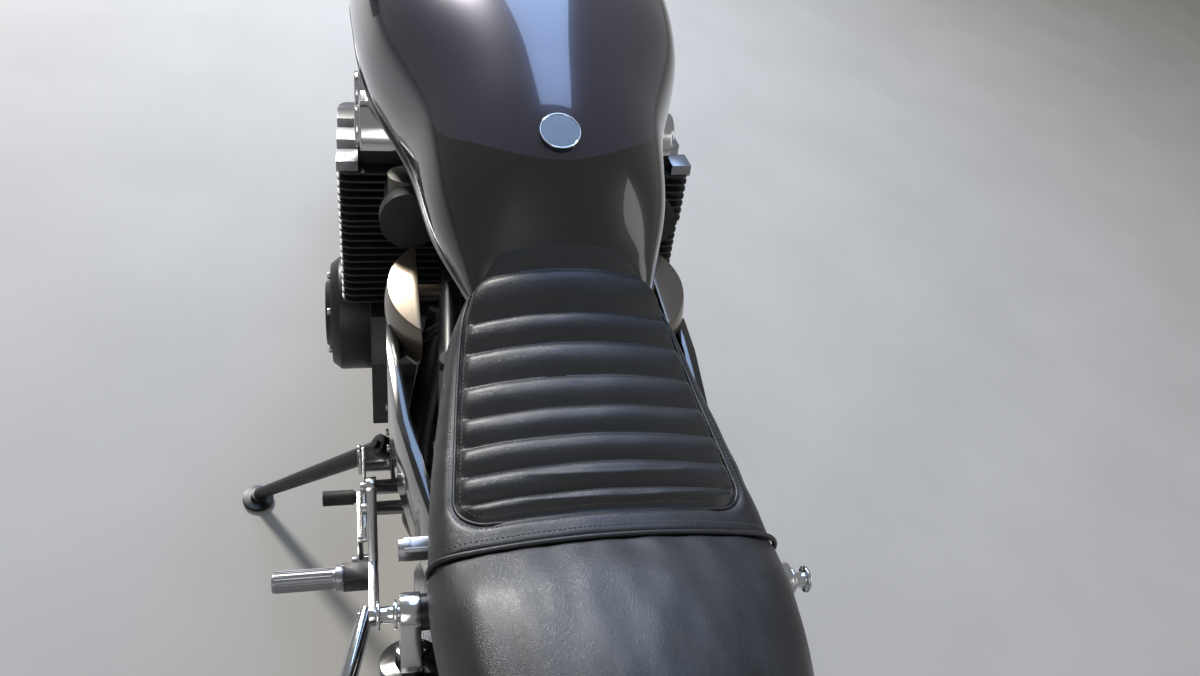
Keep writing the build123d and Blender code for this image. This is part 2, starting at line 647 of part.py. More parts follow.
with BuildPart() as fork_sliders:
    rod((fork_offset, fork_half, -24), (fork_offset, fork_half, slider_top), slider_radius)
    rod((fork_offset, fork_half, slider_top - 16), (fork_offset, fork_half, slider_top), 31)
    rod((fork_offset, fork_half - 25, 0), (fork_offset, fork_half + 27, 0), 24)
    mirror(about=Plane.XZ)
    rod((fork_offset, -150, 0), (fork_offset, 150, 0), axle_radius, Mode.SUBTRACT)

with BuildPart() as front_axle:
    rod((fork_offset, -fork_half - 34, 0), (fork_offset, fork_half + 34, 0), axle_radius)
    for side in (-1, 1):
        rod((fork_offset, side * (fork_half + 27), 0), (fork_offset, side * (fork_half + 36), 0), 15)
    rod((fork_offset, -160, 0), (fork_offset, 160, 0), 6, Mode.SUBTRACT)

# Handlebar: two clip-ons above the upper yoke, swept back and slightly down
bar_base = Vector(fork_offset, fork_half, upper_yoke + 52)
bar_run = Vector(-0.3, 0.945, 0.1).normalized()
lever_reach = Vector(42, 0, -12)
bar_length = 255
grip_start = 130
bar_bore = 7


def on_bar(distance):
    return tuple(bar_base + bar_run * distance)


with BuildPart() as clip_ons:
    rod((fork_offset, fork_half, upper_yoke + 36), (fork_offset, fork_half, upper_yoke + 68), 31)
    rod(on_bar(20), on_bar(bar_length - 4), 11)
    rod(on_bar(78), on_bar(112), 18)
    rod(on_bar(95), tuple(Vector(*on_bar(95)) + lever_reach), 9)
    rod(tuple(Vector(*on_bar(95)) + lever_reach), tuple(Vector(*on_bar(bar_length - 14)) + lever_reach), 6)
    rod(on_bar(bar_length - 60), on_bar(bar_length), bar_bore, Mode.SUBTRACT)
    mirror(about=Plane.XZ)
    perch = Vector(on_bar(84)[0] + 22, -on_bar(84)[1], on_bar(84)[2])
    rod(tuple(perch), tuple(perch + Vector(0, 0, 32)), 17)
    for side in (-1, 1):
        rod((fork_offset, side * fork_half, upper_yoke), (fork_offset, side * fork_half, upper_yoke + 90),
            tube_radius, Mode.SUBTRACT)

with BuildPart() as grips:
    rod(on_bar(grip_start), on_bar(bar_length), 16.5)
    rod(on_bar(grip_start - 4), on_bar(grip_start), 20)
    rod(on_bar(grip_start - 10), on_bar(bar_length + 10), 11, Mode.SUBTRACT)
    mirror(about=Plane.XZ)

# Headlamp: a turned bowl with a stepped rim and its lens, between two ears on the fork tubes
level_ahead = Vector(cos(rake), 0, -sin(rake))
lamp_centre = Vector(150, 0, 590)
lamp_section = Plane(origin=lamp_centre, x_dir=(0, 1, 0), z_dir=(level_ahead.Z, 0, -level_ahead.X))
lamp_axis = Axis(lamp_centre, level_ahead)
lens_radius, lens_rim, lens_rise = 84, 42, 14
with BuildPart() as headlamp:
    with BuildSketch(lamp_section) as bowl:
        with BuildLine():
            Line((0, -70), (26, -70))
            ThreePointArc((26, -70), (66, -38), (83, 14))
            Polyline((83, 14), (91, 20), (91, 42), (lens_radius, 46), (lens_radius, 30), (0, 30), (0, -70))
        make_face()
    revolve(axis=lamp_axis)
    for side in (-1, 1):
        rod((fork_offset, side * fork_half, 578), (fork_offset, side * fork_half, 612), 27)
        rod((fork_offset, side * fork_half, 595), (lamp_centre.X + 10, side * 78, 588), 8)
        rod((fork_offset, side * fork_half, 570), (fork_offset, side * fork_half, 620), tube_radius, Mode.SUBTRACT)

with BuildPart() as headlamp_lens:
    with BuildSketch(lamp_section) as glass:
        with BuildLine():
            Polyline((0, lens_rim + lens_rise), (0, 30), (lens_radius, 30), (lens_radius, lens_rim))
            RadiusArc((lens_radius, lens_rim), (0, lens_rim + lens_rise),
                      -(lens_radius ** 2 + lens_rise ** 2) / (2 * lens_rise))
        make_face()
    revolve(axis=lamp_axis)

# Two round instruments in front of the upper yoke, each with a sunk dial
clock_tilt = Vector(-0.35, 0, 0.937)
with BuildPart() as instruments:
    for side in (-1, 1):
        centre = Vector(104, side * 50, upper_yoke + 22)
        taper(tuple(centre - clock_tilt * 34), tuple(centre), 30, 44)
        rod(tuple(centre), tuple(centre + clock_tilt * 14), 44)
        rod(tuple(centre + clock_tilt * 8), tuple(centre + clock_tilt * 14), 39, Mode.SUBTRACT)
    with Locations((70, 0, upper_yoke + 12)):
        Box(60, 70, 8)
    add(yokes.part, mode=Mode.SUBTRACT)

# Front mudguard: a thin arch carried by the sliders
with BuildPart() as front_mudguard:
    with BuildSketch(Plane(origin=(fork_offset, 0, 0), x_dir=(0, 1, 0), z_dir=(1, 0, 0))) as guard:
        with BuildLine():
            ThreePointArc((-72, front_radius - 14), (0, front_radius + 24), (72, front_radius - 14))
            Line((72, front_radius - 14), (69, front_radius - 15))
            ThreePointArc((69, front_radius - 15), (0, front_radius + 21), (-69, front_radius - 15))
            Line((-69, front_radius - 15), (-72, front_radius - 14))
        make_face()
    revolve(guard.sketch, axis=Axis((fork_offset, 0, 0), (0, 1, 0)), revolution_arc=32)
    revolve(guard.sketch, axis=Axis((fork_offset, 0, 0), (0, -1, 0)), revolution_arc=70)
    for side in (-1, 1):
        rod((fork_offset, side * 66, 290), (fork_offset, side * 86, 290), 8)
    add(fork_sliders.part, mode=Mode.SUBTRACT)

# Front calipers: two bodies that bridge the discs behind the sliders
front_disc_y = 68
with BuildPart() as front_calipers:
    with Locations((fork_offset - 94, front_disc_y + 8, 74)):
        Box(58, 48, 96)
    rod((fork_offset - 70, 94, 100), (fork_offset, 94, 100), 10)
    rod((fork_offset - 70, 94, 50), (fork_offset, 94, 50), 10)
    rod((fork_offset, front_disc_y - 8, 0), (fork_offset, front_disc_y + 8, 0), 162, Mode.SUBTRACT)
    mirror(about=Plane.XZ)
    add(fork_sliders.part, mode=Mode.SUBTRACT)


# Wheels, each round its own axle
def tyre(outer, half_width, shoulder, bead_half):
    # Solid ring with a banded tread and plain sidewalls, few faces round
    bead = 219
    rise = outer - shoulder
    side = [(half_width * 0.5, outer - rise * 0.23), (half_width * 0.86, shoulder + rise * 0.32),
            (half_width, shoulder), (half_width - 3, shoulder - 18), (bead_half, bead + 9), (bead_half, bead)]
    with BuildPart() as ring:
        with BuildSketch(Plane.YZ) as section:
            with BuildLine():
                Polyline((0, outer), *side, *[(-y, z) for y, z in reversed(side)], close=True)
            make_face()
        revolve(axis=Axis.Y)
    return ring


def cast_wheel(bead_half, hub_radius, hub_half, spoke_half):
    # Rim barrel, hub and five pairs of spokes
    with BuildPart() as wheel:
        with BuildSketch(Plane.YZ) as barrel:
            with BuildLine():
                Polyline((-bead_half - 5, 227), (-bead_half, 227), (-bead_half, 219), (bead_half, 219),
                         (bead_half, 227), (bead_half + 5, 227), (bead_half + 5, 212), (bead_half - 14, 206),
                         (14 - bead_half, 206), (-bead_half - 5, 212), close=True)
            make_face()
        revolve(axis=Axis.Y)
        with BuildSketch(Plane.XZ.offset(-spoke_half)) as spokes:
            with PolarLocations(0, 5, start_angle=11):
                for side in (-1, 1):
                    with BuildLine():
                        Polyline((30, side * 6), (212, side * 30), (212, side * 46), (30, side * 26), close=True)
                    make_face()
        extrude(amount=2 * spoke_half)
        rod((0, -hub_half, 0), (0, hub_half, 0), hub_radius)
        rod((0, -hub_half, 0), (0, hub_half, 0), axle_radius + running_gap, Mode.SUBTRACT)
    return wheel


rear_tyre = tyre(rear_radius, 80, 262, 57)
front_tyre = tyre(front_radius, 60, 256, 44)
rear_rim = cast_wheel(57, 48, 88, 14)
front_rim = cast_wheel(44, 38, 60, 13)

with BuildPart() as front_discs:
    rod((0, front_disc_y - 2.5, 0), (0, front_disc_y + 2.5, 0), 155)
    rod((0, front_disc_y - 2.5, 0), (0, front_disc_y + 2.5, 0), 112, Mode.SUBTRACT)
    with BuildSketch(Plane.XZ.offset(-front_disc_y - 2)) as carrier:
        with PolarLocations(0, 5):
            with Locations((80, 0)):
                Rectangle(80, 22)
        Circle(46)
    extrude(amount=4)
    rod((0, 60, 0), (0, front_disc_y, 0), 36)
    mirror(about=Plane.XZ)
    rod((0, -90, 0), (0, 90, 0), axle_radius + running_gap, Mode.SUBTRACT)

tooth_root = rear_pitch_radius - 5.5
tooth_tip = rear_pitch_radius + 1.5
with BuildPart() as rear_drive:
    with BuildSketch(Plane.XZ.offset(-chain_y - 2.6)) as sprocket:
        Circle(tooth_root)
        with PolarLocations(0, rear_teeth):
            with BuildLine():
                Polyline((tooth_root - 2, -4.2), (tooth_tip, -1.6), (tooth_tip, 1.6), (tooth_root - 2, 4.2),
                         close=True)
            make_face()
        with PolarLocations(68, 5):
            Trapezoid(30, 40, 70, rotation=90, mode=Mode.SUBTRACT)
    extrude(amount=5.2)
    rod((0, 88, 0), (0, 104, 0), 44)
    rod((0, rear_disc_y - 2.5, 0), (0, rear_disc_y + 2.5, 0), 120)
    rod((0, -88, 0), (0, -106, 0), 40)
    rod((0, -120, 0), (0, 120, 0), axle_radius + running_gap, Mode.SUBTRACT)

# Side stand: a leg on its bolt, with a round foot flat on the ground
with BuildPart() as side_stand:
    knee = stand_ground + ground_up * 16
    rod(tuple(Vector(*stand_pivot) - stand_axis * 13), tuple(Vector(*stand_pivot) + stand_axis * 13), 17)
    taper(stand_pivot, tuple(knee), 15, 9)
    rod(tuple(stand_ground), tuple(stand_ground + ground_up * 7), 24)
    rod(tuple(stand_ground + ground_up * 7), tuple(knee), 12)
    rod(tuple(Vector(*stand_pivot) - stand_axis * 20), tuple(Vector(*stand_pivot) + stand_axis * 20), 6.1,
        Mode.SUBTRACT)

chassis = Location((0, 0, 0))
engine = engine_frame.location
pieces = [  # name, piece, the frame it is drawn in
    ("frame_spine", frame_spine, chassis),
    ("frame_cradles", frame_cradles, chassis),
    ("frame_seat_rails", frame_seat_rails, chassis),
    ("crankcase", crankcase, chassis),
    ("engine_covers", engine_covers, chassis),
    ("cylinder_block", cylinder_block, engine),
    ("cylinder_head", cylinder_head, engine),
    ("cam_cover", cam_cover, engine),
    ("carburettors", carburettors, chassis),
    ("exhaust_headers", exhaust_headers, chassis),
    ("silencer", silencer, chassis),
    ("fuel_tank", fuel_tank, chassis),
    ("filler_cap", filler_cap, chassis),
    ("tank_badge", tank_badge, chassis),
    ("seat_pad", seat_pad, chassis),
    ("seat_hump", seat_hump, chassis),
    ("helmet_lock", helmet_lock, chassis),
    ("side_covers", side_covers, chassis),
    ("cover_pods", cover_pods, chassis),
    ("rear_mudguard", rear_mudguard, chassis),
    ("tail_lamp", tail_lamp, chassis),
    ("swingarm", swingarm, chassis),
    ("rear_axle", rear_axle, chassis),
    ("shock_bodies", shock_bodies, chassis),
    ("shock_springs", shock_springs, chassis),
    ("drive_chain", drive_chain, chassis),
    ("chain_guard", chain_guard, chassis),
    ("rear_brake", rear_brake, chassis),
    ("footrest_hangers", footrest_hangers, chassis),
    ("footrests", footrests, chassis),
    ("foot_controls", foot_controls, chassis),
    ("yokes", yokes, steered),
    ("fork_tubes", fork_tubes, steered),
    ("fork_sliders", fork_sliders, steered),
    ("front_axle", front_axle, steered),
    ("clip_ons", clip_ons, steered),
    ("grips", grips, steered),
    ("headlamp", headlamp, steered),
    ("headlamp_lens", headlamp_lens, steered),
    ("instruments", instruments, steered),
    ("front_mudguard", front_mudguard, steered),
    ("front_calipers", front_calipers, steered),
    ("front_rim", front_rim, front_wheel_frame),
    ("front_tyre", front_tyre, front_wheel_frame),
    ("front_discs", front_discs, front_wheel_frame),
    ("rear_rim", rear_rim, rear_wheel_frame),
    ("rear_tyre", rear_tyre, rear_wheel_frame),
    ("rear_drive", rear_drive, rear_wheel_frame),
    ("side_stand", side_stand, chassis),
]

# The origin is the middle of the parked motorcycle's box, at the ground
standing = [(name, piece.part.moved(parked * place)) for name, piece, place in pieces]
lows = [tuple(shape.bounding_box().min) for _, shape in standing]
highs = [tuple(shape.bounding_box().max) for _, shape in standing]
middle = [(min(low[n] for low in lows) + max(high[n] for high in highs)) / 2 for n in range(2)]
stored = Location((-middle[0], -middle[1], 0))
for name, shape in standing:
    shape = shape.moved(stored)
    shape.label = name
    export_step(shape, f"parts/{name}.step")

# Joint axes and mounts in metres: a point and a direction, from a point drawn in each frame
bar_hole = bar_base + bar_run * (bar_length - 32)
marks = [  # name, frame, point, direction
    ("steering", steered, Vector(0, 0, 0), Vector(0, 0, 1)),
    ("front_wheel_spin", front_wheel_frame, Vector(0, 0, 0), Vector(0, 1, 0)),
    ("rear_wheel_spin", rear_wheel_frame, Vector(0, 0, 0), Vector(0, 1, 0)),
    ("side_stand_fold", chassis, Vector(*stand_pivot), stand_axis),
    ("mount_front_axle_bore", front_wheel_frame, Vector(0, 0, 0), Vector(0, 1, 0)),
    ("mount_left_bar_bore", steered, bar_hole, bar_run),
    ("mount_right_bar_bore", steered, Vector(bar_hole.X, -bar_hole.Y, bar_hole.Z),
     Vector(bar_run.X, -bar_run.Y, bar_run.Z)),
    ("mount_left_stand_bobbin_hole", chassis, Vector(bobbin_x, bobbin_face - bobbin_depth / 2, bobbin_z),
     Vector(0, 1, 0)),
    ("mount_right_stand_bobbin_hole", chassis, Vector(bobbin_x, bobbin_depth / 2 - bobbin_face, bobbin_z),
     Vector(0, -1, 0)),
]
for name, frame, point, along in marks:
    place = stored * parked * frame
    base = (place * Location(tuple(point))).position
    tip = (place * Location(tuple(point + along))).position
    print(name, [round(v / 1000, 6) for v in base], [round(v, 6) for v in tip - base])
print("stand_fold", round(stand_fold, 2), "lowest", round(min(low[2] for low in lows), 3), "origin shift", middle)
print("size", [round(max(h[n] for h in highs) - min(l[n] for l in lows), 1) for n in range(3)])
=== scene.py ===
import json
import math

import bpy
from mathutils import Matrix, Vector, noise
from mathutils.bvhtree import BVHTree


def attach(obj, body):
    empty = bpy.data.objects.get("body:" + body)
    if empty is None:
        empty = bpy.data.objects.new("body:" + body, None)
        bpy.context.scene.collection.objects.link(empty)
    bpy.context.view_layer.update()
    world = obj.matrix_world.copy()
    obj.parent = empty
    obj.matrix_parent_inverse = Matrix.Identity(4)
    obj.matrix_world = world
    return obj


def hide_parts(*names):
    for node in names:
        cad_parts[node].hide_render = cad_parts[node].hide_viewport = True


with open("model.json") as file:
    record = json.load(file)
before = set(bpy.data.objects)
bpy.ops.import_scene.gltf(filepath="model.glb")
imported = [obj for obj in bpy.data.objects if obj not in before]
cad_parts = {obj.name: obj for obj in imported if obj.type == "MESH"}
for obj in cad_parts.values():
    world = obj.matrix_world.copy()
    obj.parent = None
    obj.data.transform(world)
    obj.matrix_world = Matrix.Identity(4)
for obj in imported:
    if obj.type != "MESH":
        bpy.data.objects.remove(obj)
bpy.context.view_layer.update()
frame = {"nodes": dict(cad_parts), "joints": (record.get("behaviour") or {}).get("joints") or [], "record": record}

print("stage: frame loaded")

nodes = frame["nodes"]
joints = {joint["name"]: joint for joint in frame["joints"]}
slots = {part["node"]: part["material_slot"] for part in frame["record"]["subparts"]}
bodies = {name: body for body, names in frame["record"]["behaviour"]["bodies"].items() for name in names}

# The bike's upright frame: X ahead from the rear axle, Y to the left, Z up from the ground
chassis = {"rake": 25.5, "rearRadius": 0.312}


def frameMatrix(x, y, z, place):
    # The matrix whose axes are x, y and z and whose origin is the place
    matrix = Matrix((x, y, z)).transposed().to_4x4()
    matrix.translation = place
    return matrix


def bikeMatrix():
    rear = joints["rear_wheel_spin"]
    left = Vector(rear["axis"]).normalized()
    steerUp = Vector(joints["steering_turn"]["axis"])
    steerUp = (steerUp - left * steerUp.dot(left)).normalized()
    steerAhead = left.cross(steerUp)
    rake = math.radians(chassis["rake"])
    ahead = steerAhead * math.cos(rake) - steerUp * math.sin(rake)
    up = steerAhead * math.sin(rake) + steerUp * math.cos(rake)
    return frameMatrix(ahead, left, up, Vector(rear["pos_m"]) - up * chassis["rearRadius"])


toRow = bikeMatrix()
toBike = toRow.inverted()


def linearColour(code):
    # sRGB hex to the linear values that Blender works in
    parts = [int(code[n:n + 2], 16) / 255 for n in (1, 3, 5)]
    return [c / 12.92 if c <= 0.04045 else ((c + 0.055) / 1.055) ** 2.4 for c in parts] + [1.0]


def addNode(tree, kind, inputs=None, **settings):
    node = tree.nodes.new(kind)
    for name, value in settings.items():
        setattr(node, name, value)
    for name, value in (inputs or {}).items():
        if isinstance(value, bpy.types.NodeSocket):
            tree.links.new(value, node.inputs[name])
        else:
            node.inputs[name].default_value = value
    return node


def startMaterial(name, colour, roughness, metallic=0.0, **sockets):
    material = bpy.data.materials.new(name)
    material.use_nodes = True
    tree = material.node_tree
    shader = tree.nodes["Principled BSDF"]
    shader.inputs["Base Color"].default_value = linearColour(colour)
    shader.inputs["Roughness"].default_value = roughness
    shader.inputs["Metallic"].default_value = metallic
    for key, value in sockets.items():
        shader.inputs[key.replace("_", " ")].default_value = value
    place = addNode(tree, "ShaderNodeTexCoord").outputs["Object"]
    return material, tree, shader, place


def speckle(tree, place, scale, stretch=None):
    # Grain of a given scale, in repeats a metre, drawn out along an axis where stretch says
    if stretch:
        place = addNode(tree, "ShaderNodeMapping", {"Vector": place, "Scale": stretch}).outputs["Vector"]
    return addNode(tree, "ShaderNodeTexNoise", {"Vector": place, "Scale": scale, "Detail": 4.0}).outputs["Fac"]


def setBump(tree, shader, height, depth, strength=0.5):
    bump = addNode(tree, "ShaderNodeBump", {"Height": height, "Distance": depth, "Strength": strength})
    tree.links.new(bump.outputs["Normal"], shader.inputs["Normal"])


def setRange(tree, shader, socket, factor, low, high):
    # The factor's middle range spread from low to high
    spread = addNode(tree, "ShaderNodeMapRange", {"Value": factor, "From Min": 0.3, "From Max": 0.7,
                                                  "To Min": low, "To Max": high})
    tree.links.new(spread.outputs["Result"], shader.inputs[socket])


def setColours(tree, shader, factor, first, second, start=0.35, stop=0.65):
    ramp = addNode(tree, "ShaderNodeValToRGB", {"Fac": factor})
    ramp.color_ramp.elements[0].position = start
    ramp.color_ramp.elements[1].position = stop
    ramp.color_ramp.elements[0].color = linearColour(first)
    ramp.color_ramp.elements[1].color = linearColour(second)
    tree.links.new(ramp.outputs["Color"], shader.inputs["Base Color"])
    return ramp


def bikePlace(tree, place):
    # Object coordinates turned into the bike's upright frame
    return addNode(tree, "ShaderNodeMapping", {"Vector": place, "Location": toBike.translation,
                                               "Rotation": toBike.to_euler()}).outputs["Vector"]


def plainFinish(name, colour, roughness, metallic=0.0, bump=None, gloss=None, tones=None, **sockets):
    # A material with even grain: bump is its scale, depth and strength, gloss its scale and range of roughness,
    # tones its scale and two colours
    material, tree, shader, place = startMaterial(name, colour, roughness, metallic, **sockets)
    if bump:
        setBump(tree, shader, speckle(tree, place, bump[0]), *bump[1:])
    if gloss:
        setRange(tree, shader, "Roughness", speckle(tree, place, gloss[0]), *gloss[1:])
    if tones:
        setColours(tree, shader, speckle(tree, place, tones[0]), *tones[1:])
    return material


def machinedFins():
    # Cylinder fins: the engine's enamel, worn back to dull metal along the fins' ends
    enamel, metal = linearColour("#121315"), linearColour("#5e6064")
    finEnd = 0.2247
    material, tree, shader, place = startMaterial("machinedEnamelFins", "#121315", 0.45)
    across = addNode(tree, "ShaderNodeSeparateXYZ", {"Vector": bikePlace(tree, place)}).outputs["Y"]
    side = addNode(tree, "ShaderNodeMath", {0: across}, operation="ABSOLUTE").outputs[0]
    bright = addNode(tree, "ShaderNodeMath", {0: side, 1: finEnd}, operation="GREATER_THAN").outputs[0]
    colour = addNode(tree, "ShaderNodeMix", {0: bright, 6: enamel, 7: metal}, data_type="RGBA")
    tree.links.new(colour.outputs[2], shader.inputs["Base Color"])
    tree.links.new(bright, shader.inputs["Metallic"])
    setBump(tree, shader, speckle(tree, place, 700), 0.0002, 0.4)
    return material


def polishedAlloy():
    # Hand-polished aluminium: near mirror, with fine wiping scratches
    material, tree, shader, place = startMaterial("polishedAluminium", "#cfd0d2", 0.16, 1.0)
    setRange(tree, shader, "Roughness", speckle(tree, place, 220, stretch=(1.0, 6.0, 1.0)), 0.1, 0.24)
    setBump(tree, shader, speckle(tree, place, 500, stretch=(1.0, 8.0, 1.0)), 0.00005, 0.2)
    return material


def brushedAlloy():
    # Extruded aluminium arm, brushed along its length
    material, tree, shader, place = startMaterial("brushedAluminium", "#b4b5b7", 0.3, 1.0)
    streak = speckle(tree, bikePlace(tree, place), 900, stretch=(0.02, 1.0, 1.0))
    setBump(tree, shader, streak, 0.0001, 0.3)
    setRange(tree, shader, "Roughness", streak, 0.24, 0.38)
    return material


def steelPipe():
    # Stainless exhaust: polished tube, straw to blue where the heat is, near the ports
    material, tree, shader, place = startMaterial("stainlessPipe", "#b9b3a8", 0.25, 1.0)
    height = addNode(tree, "ShaderNodeSeparateXYZ", {"Vector": bikePlace(tree, place)}).outputs["Z"]
    wander = addNode(tree, "ShaderNodeMath", {0: speckle(tree, place, 25), 1: 0.06, 2: height},
                     operation="MULTIPLY_ADD").outputs[0]
    ramp = setColours(tree, shader, wander, "#b7b2aa", "#6d6a7c", 0.4, 0.66)
    gold = ramp.color_ramp.elements.new(0.56)
    gold.color = linearColour("#a88a5e")
    setRange(tree, shader, "Roughness", speckle(tree, place, 30), 0.22, 0.28)
    return material


def bronzePaint():
    # Bronze metallic on the pods: flake in a satin coat
    material, tree, shader, place = startMaterial("bronzeMetallicPaint", "#756b5e", 0.34, 0.75, Coat_Weight=0.6,
                                                  Coat_Roughness=0.12)
    flake = addNode(tree, "ShaderNodeTexVoronoi", {"Vector": place, "Scale": 1400.0}).outputs["Distance"]
    setColours(tree, shader, flake, "#857b6b", "#685e52", 0.1, 0.7)
    setBump(tree, shader, flake, 0.00008, 0.2)
    return material


def lensRibs(tree, place, scale):
    # Flutes moulded across a lamp's lens
    return addNode(tree, "ShaderNodeTexWave", {"Vector": place, "Scale": scale}, bands_direction="Y").outputs["Fac"]


def lampRed():
    # Red acrylic lens with moulded ribs
    material, tree, shader, place = startMaterial("redAcrylic", "#8c0b10", 0.12, Coat_Weight=1.0)
    setBump(tree, shader, lensRibs(tree, place, 120.0), 0.0006, 0.5)
    return material


def lampGlass():
    # Fluted headlamp glass, drawn as the grey of the reflector behind it under a clear coat
    material, tree, shader, place = startMaterial("flutedGlass", "#9aa1a6", 0.08, 0.9, Coat_Weight=1.0,
                                                  Coat_Roughness=0.02)
    ribs = lensRibs(tree, place, 45.0)
    setBump(tree, shader, ribs, 0.0015, 0.6)
    setRange(tree, shader, "Roughness", ribs, 0.05, 0.15)
    return material


def seatLeather():
    # Cowhide, aniline black with a soft finish: pebbled grain about 1.2 mm across with fine pores
    material, tree, shader, place = startMaterial("grainedLeather", "#141518", 0.43, Coat_Weight=0.25,
                                                  Coat_Roughness=0.35)
    warp = addNode(tree, "ShaderNodeTexNoise", {"Vector": place, "Scale": 260.0, "Detail": 2.0}).outputs["Color"]
    bent = addNode(tree, "ShaderNodeMix", {0: 0.0015, 4: place, 5: warp}, data_type="VECTOR").outputs[1]
    cells = addNode(tree, "ShaderNodeTexVoronoi", {"Vector": bent, "Scale": 780.0}, feature="DISTANCE_TO_EDGE")
    creased = addNode(tree, "ShaderNodeMapRange", {"Value": cells.outputs["Distance"], "From Max": 0.25})
    pores = speckle(tree, place, 1600)
    height = addNode(tree, "ShaderNodeMath", {0: pores, 1: 0.3, 2: creased.outputs["Result"]},
                     operation="MULTIPLY_ADD").outputs[0]
    setBump(tree, shader, height, 0.0004, 0.35)
    setRange(tree, shader, "Roughness", speckle(tree, place, 22), 0.36, 0.5)
    return material


def tankPaint():
    # Two-coat tank under clear lacquer: violet graphite metallic ahead of a swept line and above the flank's
    # crease, gloss black elsewhere
    line = {"centre": 0.517, "sweep": 4.9, "crease": 0.9716, "fall": 0.161, "blur": 0.0004, "metallic": 0.55}
    material, tree, shader, place = startMaterial("tankLacquer", "#3a3846", 0.26, line["metallic"], Coat_Weight=1.0,
                                                  Coat_Roughness=0.03)
    upright = addNode(tree, "ShaderNodeSeparateXYZ", {"Vector": bikePlace(tree, place)})
    squared = addNode(tree, "ShaderNodeMath", {0: upright.outputs["Y"], 1: 2.0}, operation="POWER").outputs[0]
    edge = addNode(tree, "ShaderNodeMath", {0: squared, 1: line["sweep"], 2: line["centre"]},
                   operation="MULTIPLY_ADD").outputs[0]
    ahead = addNode(tree, "ShaderNodeMath", {0: upright.outputs["X"], 1: edge}, operation="SUBTRACT").outputs[0]
    level = addNode(tree, "ShaderNodeMath", {0: upright.outputs["X"], 1: line["fall"], 2: upright.outputs["Z"]},
                    operation="MULTIPLY_ADD").outputs[0]
    over = addNode(tree, "ShaderNodeMath", {0: level, 1: line["crease"]}, operation="SUBTRACT").outputs[0]
    least = addNode(tree, "ShaderNodeMath", {0: ahead, 1: over}, operation="MINIMUM").outputs[0]
    front = addNode(tree, "ShaderNodeMapRange", {"Value": least, "From Min": -line["blur"],
                                                 "From Max": line["blur"]}).outputs[0]
    flake = addNode(tree, "ShaderNodeTexVoronoi", {"Vector": place, "Scale": 2200.0}).outputs["Color"]
    grey = addNode(tree, "ShaderNodeSeparateColor", {"Color": flake}).outputs[0]
    paint = addNode(tree, "ShaderNodeMix", {0: grey, 6: linearColour("#35333f"), 7: linearColour("#4b4957")},
                    data_type="RGBA").outputs[2]
    both = addNode(tree, "ShaderNodeMix", {0: front, 6: linearColour("#08090b"), 7: paint}, data_type="RGBA")
    tree.links.new(both.outputs[2], shader.inputs["Base Color"])
    metal = addNode(tree, "ShaderNodeMath", {0: front, 1: line["metallic"]}, operation="MULTIPLY").outputs[0]
    tree.links.new(metal, shader.inputs["Metallic"])
    return material


